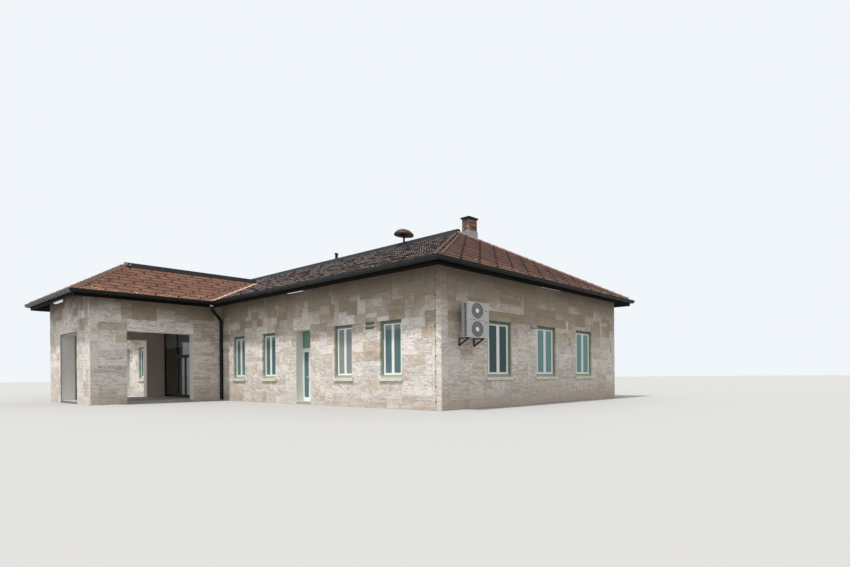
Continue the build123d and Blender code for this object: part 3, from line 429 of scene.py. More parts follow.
def tinted_glass(name, color, bright, dark_y=None, curtains_x=None):
    """Tinted pane with pale blind boxes and a painted reflection that pales towards the foot, darker in one
    room, curtained in another.
    """
    finish = Finish(name)
    across, climb = abs(finish.place.part(0)), finish.place.part(2)
    drift = finish.place.stretch((0.8, 0.8, 0.45)).noise(1.3, 3.0, 0.55)
    shade = finish.mix(drift.mask(0.35, 0.68), color, bright)
    # Painted reflection: the pane grows paler towards its foot
    shade = climb.tint(shade, 2.0, 1.1, 0.35, tuple(channel * 1.25 for channel in bright))
    shade = climb.tint(shade, 2.58, 2.62, 0.4, (0.34, 0.42, 0.42))

    def room(distance, middle):
        return abs(distance - abs(middle)).mask(window_width / 2 + 0.02, window_width / 2)

    if dark_y:
        end_side = across.mask(x_end - wall_thick, x_end - 0.2)
        dark_room = room(abs(finish.place.part(1)), dark_y) * end_side
        shade = finish.mix(end_side * 0.85, shade, (0.16, 0.32, 0.315))
        shade = finish.mix(dark_room * 0.85, shade, (0.028, 0.046, 0.053))
    if curtains_x:
        folds = finish.node("ShaderNodeTexWave", None, {
            "Vector": finish.place, "Scale": 4.2, "Distortion": 1.5, "Detail": 1.0})
        cloth = finish.mix(folds, (0.11, 0.13, 0.12), (0.33, 0.36, 0.34))
        shade = finish.mix(room(across, curtains_x) * climb.mask(2.6, 2.55), shade, cloth)
    return finish.surface(shade, 0.07, normal=finish.place.noise(0.9, 1.0).bump(0.004, 0.3),
                          Specular_IOR_Level=0.22)


def boarded_wood_painted_shade():
    """Dark brown boards of the roof's underside, made near black by painted shade."""
    finish = Finish("boarded_wood_painted_shade")
    grain = finish.place.stretch((1.5, 26, 26)).noise(1.5, 5.0, 0.6, 0.6)
    shade = grain.ramp([
        (0.3, (0.004, 0.003, 0.0025)), (0.6, (0.009, 0.006, 0.005)), (0.8, (0.018, 0.013, 0.01))])
    shade = finish.place.noise(1.1, 3.0).tint(shade, 0.5, 0.75, 0.3, (0.02, 0.016, 0.013))
    return finish.surface(shade, 0.8, normal=grain.bump(0.0015), Specular_IOR_Level=0.1)


def kiln_brick():
    """Patchy brown and orange bricks."""
    finish = Finish("kiln_brick")
    rough = finish.place.noise(30.0, 5.0, 0.65)
    color = finish.uv("slab").part(0).ramp([
        (0.0, (0.07, 0.045, 0.045)), (0.35, (0.15, 0.08, 0.06)), (0.6, (0.26, 0.13, 0.08)),
        (0.8, (0.34, 0.2, 0.13)), (1.0, (0.11, 0.08, 0.09))])
    color = rough.tint(color, 0.5, 0.7, 0.5, (0.12, 0.09, 0.08))
    return finish.surface(color, 0.88, normal=rough.bump(0.004))


stone = veined_stone()
dressed = grained("pale_dressed_stone", [
    (0.3, (0.58, 0.54, 0.48)), (0.5, (0.68, 0.64, 0.57)), (0.7, (0.75, 0.71, 0.65))], 60.0, 0.7,
    (0.48, 0.44, 0.39))
joint_mortar = grained("mortar", [(0.35, (0.27, 0.24, 0.2)), (0.65, (0.42, 0.38, 0.32))], 90.0, 0.92)
# One clay in three copies: the street and end copies are darkened by painted shade in their body colour, and
# the street copy has strong painted glints and nose shade; the porch copy also serves the platform side
street_clay = clay_tile("street_clay_with_painted_shade", (0.011, 0.007, 0.007), 0.52, 0.9)
porch_clay = clay_tile("brown_red_clay", (0.118, 0.057, 0.038), 0.08, 0.1)
end_clay = clay_tile("end_clay_with_painted_shade", (0.065, 0.0335, 0.0255), 0.06, 0.15)
hip_clay = rounded_clay()
ridge_metal = coated_sheet("slate_grey_sheet", (0.011, 0.014, 0.017), (0.03, 0.036, 0.042))
valley_metal = coated_sheet("valley_sheet", (0.45, 0.29, 0.24), (0.55, 0.4, 0.35), metallic=0.1)
edge_brown = coated_sheet("dark_brown_edging", (0.045, 0.03, 0.02), (0.085, 0.06, 0.045), metallic=0.1)
rod_metal = coated_sheet("weathered_rod", (0.36, 0.31, 0.26), (0.5, 0.45, 0.4), metallic=0.1)
bright_metal = coated_sheet("bright_zinc", (0.5, 0.53, 0.55), (0.62, 0.65, 0.66), 0.35, 0.4)
unit_paint = painted("grey_casing_paint", (0.47, 0.475, 0.465), (0.56, 0.56, 0.55), 0.4)
transom_paint = painted("deep_green_panel", (0.12, 0.24, 0.16), (0.17, 0.3, 0.21))
fan_plastic = painted("grey_fan_plastic", (0.2, 0.205, 0.2), (0.3, 0.305, 0.3))
hub_paint = painted("pale_hub", (0.85, 0.87, 0.85), (0.75, 0.77, 0.75))
shadow_black = painted("shadow_black", (0.012, 0.012, 0.012), (0.02, 0.02, 0.02), 0.8)
wood = boarded_wood_painted_shade()
brick = kiln_brick()

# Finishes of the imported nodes, by patterns of their names
node_finishes = {
    plaster("warm_grey_plaster", (0.74, 0.6, 0.53), (0.64, 0.52, 0.45), (0.3, 0.25, 0.205)):
        "front_wall_* end_wall_* rear_walls door_lintels porch_*_piers porch_lintels",
    # The roof slabs' edges take the same near-black painted shade
    wood: "roof_front_* roof_rear roof_ends roof_porch_*",
    hip_clay: "hip_tiles",
    ridge_metal: "ridge_caps roof_vent",
    coated_sheet("anthracite_sheet", (0.005, 0.0065, 0.008), (0.014, 0.018, 0.02), 0.3):
        "gutters_* downpipes",
    paving(): "*_floor thresholds",
    plaster("ceiling_plaster", (0.7, 0.68, 0.66), (0.62, 0.6, 0.58)): "*_ceiling",
    sage_lining(): "window_linings",
    # Painted light: the door frames are made paler to stand for light on their recessed reveals
    painted("door_frame_paint_painted_light", (0.8, 0.79, 0.73), (0.85, 0.84, 0.79)): "street_door_frames",
    painted("white_frame", (0.8, 0.83, 0.81), (0.7, 0.74, 0.72), 0.32): "window_sashes street_door_*_leaf",
    tinted_glass("teal_glass", (0.05, 0.11, 0.125), (0.1, 0.19, 0.195), end_window_ys[0], bay_xs[1]):
        "window_glass street_door_*_glass",
    tinted_glass("smoked_glass", (0.02, 0.021, 0.014), (0.045, 0.047, 0.034)):
        "*_screen_glass entrance_glass_*",
    dressed: "window_sills",
    coated_sheet("near_black_powder_coat", (0.006, 0.006, 0.006), (0.02, 0.02, 0.019)):
        "*_screen entrance_leaf_* ac_brackets chimney_cap",
    joint_mortar: "chimney_stack",
    coated_sheet("weathered_grey_sheet", (0.3, 0.33, 0.36), (0.48, 0.5, 0.53), 0.4, 0.5): "chimney_flashing",
    coated_sheet("weathered_brown_paint", (0.045, 0.028, 0.022), (0.1, 0.07, 0.055), metallic=0.2): "siren",
    unit_paint: "ac_unit",
    coated_sheet("grey_wire", (0.34, 0.35, 0.36), (0.45, 0.46, 0.47), 0.4, 0.4): "ac_fan_guards",
    coated_sheet("grey_casing", (0.3, 0.3, 0.29), (0.42, 0.42, 0.4), 0.45, 0.1): "wall_camera",
    # Painted light: the eave lamps are unlit, so their diffuser's glow stands in for light
    painted("white_diffuser", (0.93, 0.93, 0.92), (0.86, 0.87, 0.86), 0.3, 0.45): "eaves_lamps",
}
for finish, patterns in node_finishes.items():
    for pattern in patterns.split():
        for name in fnmatch.filter(frame["nodes"], pattern):
            frame["nodes"][name].data.materials.clear()
            frame["nodes"][name].data.materials.append(finish)

# Making and finishing pieces


def edit_mode():
    bpy.ops.object.mode_set(mode="EDIT")


def object_mode():
    bpy.ops.object.mode_set(mode="OBJECT")


def select_only(pieces):
    """Selects these objects alone, the first one active."""
    bpy.ops.object.select_all(action="DESELECT")
    for piece in pieces:
        piece.select_set(True)
    bpy.context.view_layer.objects.active = pieces[0]


def select(piece, kind, wanted):
    """In edit mode, selects the faces or the edges for which wanted is true."""
    bpy.ops.mesh.select_mode(type=kind)
    bpy.ops.mesh.select_all(action="DESELECT")
    mesh = bmesh.from_edit_mesh(piece.data)
    for element in mesh.faces if kind == "FACE" else mesh.edges:
        if wanted(element):
            element.select_set(True)
    bmesh.update_edit_mesh(piece.data)


def delete_faces(piece, wanted):
    """In edit mode, deletes the faces for which wanted is true."""
    select(piece, "FACE", wanted)
    bpy.ops.mesh.delete(type="FACE")


def extrude(*step):
    """In edit mode, extrudes what is selected."""
    bpy.ops.mesh.extrude_region_move(TRANSFORM_OT_translate={"value": step})


def apply_modifier(piece, kind, **settings):
    """Adds a modifier, sets it and applies it."""
    modifier = piece.modifiers.new(kind.lower(), kind)
    for setting, value in settings.items():
        setattr(modifier, setting, value)
    bpy.context.view_layer.objects.active = piece
    bpy.ops.object.modifier_apply(modifier=modifier.name)


def repeat(piece, count, *step):
    """Repeats a piece in equal steps."""
    apply_modifier(piece, "ARRAY", count=count, use_relative_offset=False, use_constant_offset=True,
                   constant_offset_displace=step)


def settle(piece, matrix):
    """Moves the mesh of a piece to its place and leaves the object at the origin."""
    select_only([piece])
    piece.matrix_world = matrix @ piece.matrix_world
    bpy.ops.object.transform_apply(location=True, rotation=True, scale=True)


def placed(origin, across, up):
    """Matrix for a local piece: its x goes across, its y up, its z out of both."""
    return Matrix.Translation(origin) @ Matrix((across, up, across.cross(up))).transposed().to_4x4()


def finished(pieces, name, material, smooth=False):
    """Joins pieces into one, gives it its finish and its slot, and lets it ride on the building."""
    select_only(pieces)
    piece = pieces[0]
    if len(pieces) > 1:
        bpy.ops.object.join()
    piece.name = piece.data.name = name
    piece.data.materials.clear()
    piece.data.materials.append(material)
    if smooth:
        bpy.ops.object.shade_smooth_by_angle(angle=math.radians(40))
    piece.select_set(False)
    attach(piece, BUILDING)
    return piece


def grid(columns, rows):
    """A flat grid one metre wide and deep."""
    bpy.ops.mesh.primitive_grid_add(x_subdivisions=columns, y_subdivisions=rows, size=1)
    return bpy.context.object


def cylinder(sides, radius, depth, middle=(0, 0, 0), turn=(0, 0, 0), ends="NGON"):
    """A cylinder, or a tube where ends is NOTHING."""
    bpy.ops.mesh.primitive_cylinder_add(vertices=sides, radius=radius, depth=depth, end_fill_type=ends,
                                        location=middle, rotation=turn)
    bpy.ops.object.transform_apply(location=True, rotation=True)
    return bpy.context.object


def bevelled_box(middle, size, edge):
    """A box with rounded edges, centred at a place."""
    bpy.ops.mesh.primitive_cube_add(size=1, location=middle)
    piece = bpy.context.object
    piece.scale = size
    bpy.ops.object.transform_apply(location=True, scale=True)
    apply_modifier(piece, "BEVEL", width=edge, segments=2)
    return piece


def sunk_panel(middle, size, rim, depth):
    """A plate whose street face is sunk inside a rim."""
    plate = bevelled_box(middle, size, 0.002)
    edit_mode()
    select(plate, "FACE", lambda face: face.normal.y < -0.9 and face.calc_area() > size[0] * size[2] / 2)
    bpy.ops.mesh.inset(thickness=rim)
    extrude(0, depth, 0)
    object_mode()
    return plate


# Masonry panels: a lattice of cells gathered into stones, with a joint round each


def lattice_lines(hard, pitch):
    """Lines at every hard place and at about the pitch between them."""
    hard = sorted(set(round(value, 4) for value in hard))
    lines = [hard[0]]
    for start, stop in zip(hard, hard[1:]):
        count = max(1, round((stop - start) / pitch))
        lines += [start + (stop - start) * i / count for i in range(1, count + 1)]
    return lines


stone_lengths = {1: (4, 6), 2: (3, 7), 3: (2, 4)}


def ashlar_layout(columns, rows, is_open, quoin_columns, chance):
    """Stone number of every cell: random ashlar one to three rows high, quoins three rows high."""
    numbers = np.full((columns, rows), -1)
    count = 0
    for row in range(rows):
        for column in range(columns):
            if numbers[column, row] >= 0 or is_open(column, row):
                continue
            if column in quoin_columns:
                wide, tall = quoin_columns[column], 3 - row % 3
            else:
                tall = chance.choice((1, 2, 2, 2, 3))
                wide = chance.randint(*stone_lengths[tall])
            reach = 0
            while (reach < wide and column + reach < columns and numbers[column + reach, row] < 0
                   and not is_open(column + reach, row)
                   and (reach == 0 or (column + reach not in quoin_columns) or column in quoin_columns)):
                reach += 1
            climb = 1
            while (climb < tall and row + climb < rows
                   and all(numbers[column + i, row + climb] < 0 and not is_open(column + i, row + climb)
                           for i in range(reach))):
                climb += 1
            numbers[column:column + reach, row:row + climb] = count
            count += 1
    return numbers, count


def bond_layout(columns, rows):
    """Stone number of every cell in a running bond two cells long."""
    numbers = np.array([[row * columns + (column + row % 2) // 2 for row in range(rows)]
                        for column in range(columns)])
    return numbers, rows * columns


def masonry_panel(matrix, column_lines, row_lines, layout, chance, joint, proud, uneven,
                  is_open=lambda column, row: False, opening_depth=0.0, tone_of=lambda middle, tone: tone):
    """A wall face of separate stones, from a grid whose inner edges are dissolved, then inset."""
    numbers, count = layout
    piece = grid(*numbers.shape)
    corners = np.empty(len(piece.data.vertices) * 3, np.float32)
    piece.data.vertices.foreach_get("co", corners)
    corners = corners.reshape(-1, 3)
    for axis, lines in enumerate((column_lines, row_lines)):
        corners[:, axis] = np.array(lines)[np.rint((corners[:, axis] + 0.5) * (len(lines) - 1)).astype(int)]
    piece.data.vertices.foreach_set("co", corners.ravel())

    def cell_at(point):
        return tuple(int(np.clip(np.searchsorted(lines, value) - 1, 0, len(lines) - 2))
                     for lines, value in ((column_lines, point.x), (row_lines, point.y)))

    def stone_at(face):
        return int(numbers[cell_at(face.calc_center_median())])

    edit_mode()
    delete_faces(piece, lambda face: is_open(*cell_at(face.calc_center_median())))
    select(piece, "EDGE", lambda edge: len(edge.link_faces) == 2
                 and len({stone_at(face) for face in edge.link_faces}) == 1)
    bpy.ops.mesh.dissolve_edges(use_verts=True)
    bpy.ops.mesh.select_all(action="SELECT")
    bpy.ops.mesh.inset(thickness=joint / 2, depth=proud, use_individual=True, use_even_offset=True)
    mesh = bmesh.from_edit_mesh(piece.data)
    for face in mesh.faces:
        if face.select:
            lift = chance.uniform(0, uneven)
            for vert in face.verts:
                vert.co.z += lift
    bmesh.update_edit_mesh(piece.data)
    if opening_depth:
        limits = ((0, column_lines[0]), (0, column_lines[-1]), (1, row_lines[0]), (1, row_lines[-1]))
        select(piece, "EDGE", lambda edge: edge.is_boundary and not any(
            all(abs(vert.co[axis] - limit) < 1e-4 for vert in edge.verts) for axis, limit in limits))
        extrude(0, 0, -opening_depth)
    mesh = bmesh.from_edit_mesh(piece.data)
    slab_map = mesh.loops.layers.uv.new("slab")
    bed_map = mesh.loops.layers.uv.new("bed")
    tones = [chance.random() for _ in range(count)]
    shades = [chance.random() for _ in range(count)]
    turns = [chance.choice((0, 0, 0, 0, 0, 0, 0.12, -0.15, 0.5)) for _ in range(count)]
    shifts = [(chance.uniform(0, 90), chance.uniform(0, 90)) for _ in range(count)]
    for face in mesh.faces:
        middle = face.calc_center_median()
        number = stone_at(face)
        tone = tone_of(middle, tones[number])
        if opening_depth > reveal and abs(face.normal.z) < 0.5 and middle.z < -proud:
            tone = sawn_tone
        cosine, sine = math.cos(turns[number]), math.sin(turns[number])
        for loop in face.loops:
            spot = loop.vert.co
            along, up = spot.x + spot.z, spot.y + spot.z
            loop[slab_map].uv = (tone, shades[number])
            loop[bed_map].uv = (along * cosine - up * sine + shifts[number][0],
                                along * sine + up * cosine + shifts[number][1])
    bmesh.update_edit_mesh(piece.data)
    object_mode()
    settle(piece, matrix)
    return piece


def stone_wall(name, start, along, length, openings, quoin_ends, opening_depth, seed):
    """Stone facing of one wall, with openings along it and upwards, and quoins at its ends 0 or 1."""
    chance = random.Random(seed)
    quoin_starts = [end * (length - quoin_width) for end in quoin_ends]
    quoins = [(quoin_start, quoin_start + quoin_width) for quoin_start in quoin_starts]
    spans = [(0, length), *quoins, *(opening[:2] for opening in openings)]
    column_lines = lattice_lines([edge for span in spans for edge in span if -1e-6 < edge < length + 1e-6],
                                 cell_pitch)
    row_spans = [(0, wall_top), *(opening[2:] for opening in openings)]
    row_lines = lattice_lines([edge for span in row_spans for edge in span if edge >= 0], cell_pitch)

    def is_open(column, row):
        middle_x = (column_lines[column] + column_lines[column + 1]) / 2
        middle_z = (row_lines[row] + row_lines[row + 1]) / 2
        return any(x_low < middle_x < x_high and z_low < middle_z < z_high
                   for x_low, x_high, z_low, z_high in openings)

    quoin_columns = {}
    for q_low, q_high in quoins:
        inside = [i for i in range(len(column_lines) - 1)
                  if q_low - 1e-4 < column_lines[i] and column_lines[i + 1] < q_high + 1e-4]
        for position, column in enumerate(inside):
            quoin_columns[column] = len(inside) - position

    def tone_of(middle, tone):
        if any(q_low < middle.x < q_high for q_low, q_high in quoins):
            return tone * quoin_tone_range + quoin_tone
        if any(z_low < 0 and x_low < middle.x < x_high and z_high < middle.y < z_high + lintel_band
               for x_low, x_high, z_low, z_high in openings):
            return tone * lintel_tone_range
        return tone

    layout = ashlar_layout(len(column_lines) - 1, len(row_lines) - 1, is_open, quoin_columns, chance)
    panel = masonry_panel(placed((*start, 0), along, UP), column_lines, row_lines, layout, chance,
                          stone_joint, stone_proud, stone_uneven, is_open, opening_depth, tone_of)
    finished([panel], name, stone)


def gap(middle, half, foot, head):
    """An opening in a stone face, a little inside the opening of the wall behind it."""
    return (middle - half + opening_clear, middle + half - opening_clear, foot, head - opening_clear)


def window_gap(middle):
    return gap(middle, window_width / 2, window_foot, window_head)


def mirrored_gap(opening, length):
    return (length - opening[1], length - opening[0], *opening[2:])


street_length = x_end - x_porch + stone_proud
street_gaps = [window_gap(x - x_porch) for x in street_window_xs]
street_gaps.append(gap(door_x - x_porch, door_width / 2, -1, window_head))
end_length = y_rear - y_front + 2 * stone_proud
end_gaps = [window_gap(y - y_front + stone_proud) for y in end_window_ys]
rear_middle = x_end + stone_proud
rear_gaps = [window_gap(rear_middle + side * x) for x in bay_xs for side in (-1, 1)]
rear_gaps.append(gap(rear_middle, platform_screen_half, -1, porch_head))
porch_length = y_front - y_porch + stone_proud
side_gap = gap((side_opening_front + side_opening_rear) / 2 - y_porch + stone_proud,
               (side_opening_rear - side_opening_front) / 2, -1, porch_head)
porch_middle = x_porch + stone_proud
porch_gap = gap(porch_middle, porch_front_half, -1, porch_head)
walls = {
    "street_stones_right": ((x_porch, y_front), RIGHT, street_length, street_gaps, (1,), reveal),
    "street_stones_left": ((-x_end - stone_proud, y_front), RIGHT, street_length,
                           [mirrored_gap(opening, street_length) for opening in street_gaps], (0,), reveal),
    "end_stones_right": ((x_end, y_front - stone_proud), PLATFORM, end_length, end_gaps, (0, 1), reveal),
    "end_stones_left": ((-x_end, y_rear + stone_proud), STREET, end_length, end_gaps, (0, 1), reveal),
    "platform_stones": ((rear_middle, y_rear), LEFT, 2 * rear_middle, rear_gaps, (0, 1), reveal),
    "porch_stones_right": ((x_porch, y_porch - stone_proud), PLATFORM, porch_length, [side_gap], (0,),
                           wall_thick),
    "porch_stones_left": ((-x_porch, y_front), STREET, porch_length, [mirrored_gap(side_gap, porch_length)],
                          (1,), wall_thick),
    "porch_stones_front": ((-porch_middle, y_porch), RIGHT, 2 * porch_middle, [porch_gap], (0, 1),
                           wall_thick),
}
for seed, (name, wall) in enumerate(walls.items(), 11):
    stone_wall(name, *wall, seed)

# Dark edging round the street-side porch opening
edging_wide = 0.035
edging_stand = 0.006
fine_edge = 0.001
edging_y = y_porch - stone_proud - edging_stand / 2
edging = [bevelled_box((0, edging_y, porch_head - opening_clear - edging_wide / 2),
                       (2 * porch_front_half - 2 * opening_clear, edging_stand, edging_wide), fine_edge)]
for side in (-1, 1):
    edging.append(bevelled_box(
        (side * (porch_front_half - opening_clear - edging_wide / 2), edging_y, porch_head / 2),
        (edging_wide, edging_stand, porch_head - 2 * opening_clear), fine_edge))
finished(edging, "porch_edging", edge_brown)

# Chimney bricks on the four faces above the flashing
chimney_low, chimney_high = low("chimney_stack"), high("chimney_stack")
brick_foot = high("chimney_flashing").z - 0.004
half_brick, brick_course = 0.113, 0.075
brick_columns = lattice_lines([0, chimney_high.x - chimney_low.x], half_brick)
brick_rows = lattice_lines([0, chimney_high.z - brick_foot], brick_course)
brick_joint = 0.01
brick_proud = 0.004
brick_uneven = 0.002
chimney_faces = [((chimney_low.x, chimney_low.y), RIGHT), ((chimney_high.x, chimney_low.y), PLATFORM),
                 ((chimney_high.x, chimney_high.y), LEFT), ((chimney_low.x, chimney_high.y), STREET)]
bond = bond_layout(len(brick_columns) - 1, len(brick_rows) - 1)
brick_faces = [masonry_panel(placed((*start, brick_foot), along, UP), brick_columns, brick_rows, bond,
                             random.Random(seed), brick_joint, brick_proud, brick_uneven)
               for seed, (start, along) in enumerate(chimney_faces, 41)]
finished(brick_faces, "chimney_bricks", brick)

# Earthing rods down the quoin joint of each street corner
rod_radius = 0.004
rod_stand = 0.022
rod_foot = 0.04
clip_pitch = 0.46
clip_size = (0.04, rod_stand, 0.03)
clip_proud = 0.006
rods, clips = [], []
for rod_x in (quoin_width - x_end, x_end - quoin_width):
    rod_middle = (rod_x, y_front - rod_stand, (wall_top + rod_foot) / 2)
    rods.append(cylinder(12, rod_radius, wall_top - rod_foot, rod_middle))
    clip_middle = (rod_x, y_front - rod_stand / 2 - clip_proud, rod_foot + clip_pitch / 2)
    clip = bevelled_box(clip_middle, clip_size, 0.004)
    repeat(clip, int((wall_top - rod_foot) / clip_pitch), 0, 0, clip_pitch)
    clips.append(clip)
finished(rods, "earthing_rods", rod_metal, smooth=True)
finished(clips, "rod_clips", edge_brown)

# Vent grilles between the two outer street windows
grille_wide = 0.46
grille_high = 0.075
grille_x = 15.015
grille_zs = (2.7, 2.85)
grille_stand = 0.018
grille_rim = 0.008
slat_count = 3
slat_size = (grille_wide - 0.018, 0.014, 0.003)
slat_tilt = Matrix.Rotation(math.radians(-35), 4, "X")
grille_frames, grille_slats = [], []
for middle_x in (-grille_x, grille_x):
    for middle_z in grille_zs:
        grille_frames.append(sunk_panel((middle_x, y_front - grille_stand / 2 - stone_proud, middle_z),
                                        (grille_wide, grille_stand, grille_high), grille_rim,
                                        grille_stand * 0.7))
        for number in range(slat_count):
            climb = ((number + 0.5) / slat_count - 0.5) * (grille_high - 2 * grille_rim)
            slat = bevelled_box((0, 0, 0), slat_size, fine_edge)
            slat_middle = (middle_x, y_front - stone_proud - grille_stand * 0.6, middle_z + climb)
            settle(slat, Matrix.Translation(slat_middle) @ slat_tilt)
            grille_slats.append(slat)
finished(grille_frames, "vent_grilles", shadow_black)
finished(grille_slats, "vent_slats", bright_metal)

# Green panels over the street doors
door_face = low("street_door_right_outer_glass").y - 0.02
panel_foot = high("street_door_right_outer_leaf").z + 0.06
panel_head = high("street_door_frames").z - 0.035
panel_thick = 0.008
panel_wide = door_width - 0.07
panel_rim = 0.045
panels = [sunk_panel((middle_x, door_face - panel_thick / 2, (panel_foot + panel_head) / 2),
                     (panel_wide, panel_thick, panel_head - panel_foot), panel_rim, panel_thick * 0.6)
          for middle_x in (-door_x, door_x)]
finished(panels, "door_panels", transom_paint)

# Cooling unit: fans in their wells, seams, side louvres and screw caps
unit_low, unit_high = low("ac_unit"), high("ac_unit")
guard_low, guard_high = low("ac_fan_guards"), high("ac_fan_guards")
fan_y = (guard_low.y + guard_high.y) / 2
fan_radius = (guard_high.y - guard_low.y) / 2
fan_zs = (guard_low.z + fan_radius, guard_high.z - fan_radius)
well_depth = 0.0385
well_gap = 0.003
well_back = unit_high.x - well_depth
well_front = guard_low.x - 0.002
hub_radius = 0.072
hub_thick = 0.006
blade_count = 5
blade_tip_gap = 0.014
blade_spread = 0.95
blade_narrowing = 0.15
blade_sweep = 0.4
blade_twist = 0.014


def fan_blade():
    """One swept blade round the z axis, pitched from edge to edge."""
    blade = grid(6, 3)
    reach = fan_radius - hub_radius - blade_tip_gap
    for vert in blade.data.vertices:
        out, spread = vert.co.x + 0.5, vert.co.y
        radius = hub_radius + reach * out
        angle = spread * (blade_spread - blade_narrowing * out) + blade_sweep * out
        vert.co = (radius * math.cos(angle), radius * math.sin(angle), -spread * blade_twist)
    apply_modifier(blade, "SOLIDIFY", thickness=0.0025, offset=0)
    return blade


def fan(middle_z):
    """Cup-shaped well with its blades."""
    well = cylinder(48, fan_radius - well_gap, well_front - well_back)
    edit_mode()
    delete_faces(well, lambda face: face.normal.z > 0.9)
    bpy.ops.mesh.select_all(action="SELECT")
    bpy.ops.mesh.flip_normals()
    object_mode()
    apply_modifier(well, "SOLIDIFY", thickness=0.002, offset=-1)
    place = placed(((well_back + well_front) / 2, fan_y, middle_z), PLATFORM, UP)
    settle(well, place)
    blades = [fan_blade() for _ in range(blade_count)]
    for number, blade in enumerate(blades):
        settle(blade, place @ Matrix.Rotation(2 * math.pi * number / blade_count, 4, "Z"))
    return [well, *blades]


def fan_hub(middle_z):
    """Hub in front of the guard."""
    hub = cylinder(32, hub_radius, hub_thick)
    apply_modifier(hub, "BEVEL", width=0.002, segments=3)
    settle(hub, placed((guard_high.x + 0.0015, fan_y, middle_z), PLATFORM, UP))
    return hub


finished([piece for middle_z in fan_zs for piece in fan(middle_z)], "cooling_fans", fan_plastic,
         smooth=True)
finished([fan_hub(middle_z) for middle_z in fan_zs], "fan_hubs", hub_paint, smooth=True)
mark_thick = 0.0012
mark_edge = 0.0004
seam_wide = 0.009
seam_margin = 0.06
seam_left = unit_low.y + seam_margin
seam_right = fan_y + fan_radius + seam_margin / 2
face_x = unit_high.x + mark_thick / 2
unit_tall = unit_high.z - unit_low.z
unit_middle_z = (unit_low.z + unit_high.z) / 2
marks = [bevelled_box((face_x, (seam_left + seam_right) / 2, unit_middle_z),
                      (mark_thick, seam_right - seam_left, seam_wide), mark_edge),
         bevelled_box((face_x, seam_right, unit_middle_z),
                      (mark_thick, seam_wide / 2, unit_tall - seam_margin), mark_edge)]
cap_radius = 0.024
cap_thick = 0.006
cap_y, cap_zs = -1.34, (2.732, 3.076)
for cap_z in cap_zs:
    cap = cylinder(20, cap_radius, cap_thick, (unit_high.x + 0.002, cap_y, cap_z), (0, math.pi / 2, 0))
    apply_modifier(cap, "BEVEL", width=0.002, segments=2)
    marks.append(cap)
louvre_foot, louvre_margin = 0.05, 0.07
# x, width, height and pitch of the side louvres, front and back
louvres = ((unit_high.x - 0.1, 0.09, 0.042, 0.064), (unit_low.x + 0.06, 0.07, 0.006, 0.032))
for slot_x, slot_wide, slot_high, slot_pitch in louvres:
    louvre = bevelled_box((slot_x, unit_low.y - mark_thick / 2, unit_low.z + louvre_foot),
                          (slot_wide, mark_thick, slot_high), mark_edge)
    repeat(louvre, int((unit_tall - louvre_margin) / slot_pitch), 0, 0, slot_pitch)
    marks.append(louvre)
finished(marks, "casing_marks", shadow_black, smooth=True)

# Roof tiles: one tile, repeated in half bond along and up the slope, then cut along hips and valleys
tile_cover = 0.26
tile_course = 0.455
tile_steps = 12
tile_faces = 2 * tile_steps
tile_roll = 0.015
tile_nose = 0.018
nose_mark = -1
nose_back = 0.004
tile_lift = 0.008
eave_reach = 0.05


def slope_matrix(eave_point, along, slope):
    """Places a local sheet on a roof slope: x along the eave, y up the slope, z away from it."""
    return placed(eave_point, along, (UP.cross(along) + UP * slope).normalized())


def slope_corners(slope, outline):
    """Corners of an outline on the slope's own sheet, with its left, right and top."""
    points = [Vector((x, run * math.hypot(1, slope))) for x, run, _ in outline]
    return points, min(point.x for point in points), max(point.x for point in points), max(
        point.y for point in points)


def half_bond(piece, columns, pitch, shift, pairs):
    """Repeats a piece along the eave and up the slope, every second course shifted."""
    repeat(piece, columns, pitch, 0, 0)
    repeat(piece, 2, shift, tile_course, 0)
    repeat(piece, pairs, 0, 2 * tile_course, 0)


def tile_height(share):
    """Height of a tile's section: two low rolls with flat pans between."""
    return tile_roll * max(0.0, -math.cos(4 * math.pi * share))


def single_tile():
    """One tile with its nose towards the eave, its nose face turned down."""
    tile = grid(tile_steps, 1)
    for vert in tile.data.vertices:
        share, up = vert.co.x + 0.5, vert.co.y + 0.5
        lift = tile_lift + tile_height(share) + (1 - up) * tile_nose
        vert.co = (share * tile_cover, up * tile_course, lift)
    edit_mode()
    select(tile, "EDGE", lambda edge: all(vert.co.y < 1e-4 for vert in edge.verts))
    extrude(0, nose_back, 0)
    mesh = bmesh.from_edit_mesh(tile.data)
    nose = [vert for vert in mesh.verts if nose_back / 2 < vert.co.y < tile_course / 2]
    for vert in nose:
        vert.co.z = tile_lift / 2
    spot_map = mesh.loops.layers.uv.new("spot")
    for face in mesh.faces:
        for loop in face.loops:
            spot = loop.vert.co
            up = nose_mark if loop.vert in nose else spot.y / tile_course
            loop[spot_map].uv = (spot.x / tile_cover, up)
    bmesh.update_edit_mesh(tile.data)
    object_mode()
    return tile


def with_next(corners):
    """Each corner of a ring together with the one after it."""
    return list(zip(corners, corners[1:] + corners[:1]))


def sloping_edges(points, outline):
    """Cuts for every edge of an outline that has a margin, as (point, outward)."""
    edges = []
    for (start, stop), (_, _, margin) in zip(with_next(points), outline):
        if margin is not None:
            outward = Vector((stop.y - start.y, start.x - stop.x)).normalized()
            edges.append((start - outward * margin, outward))
    return edges


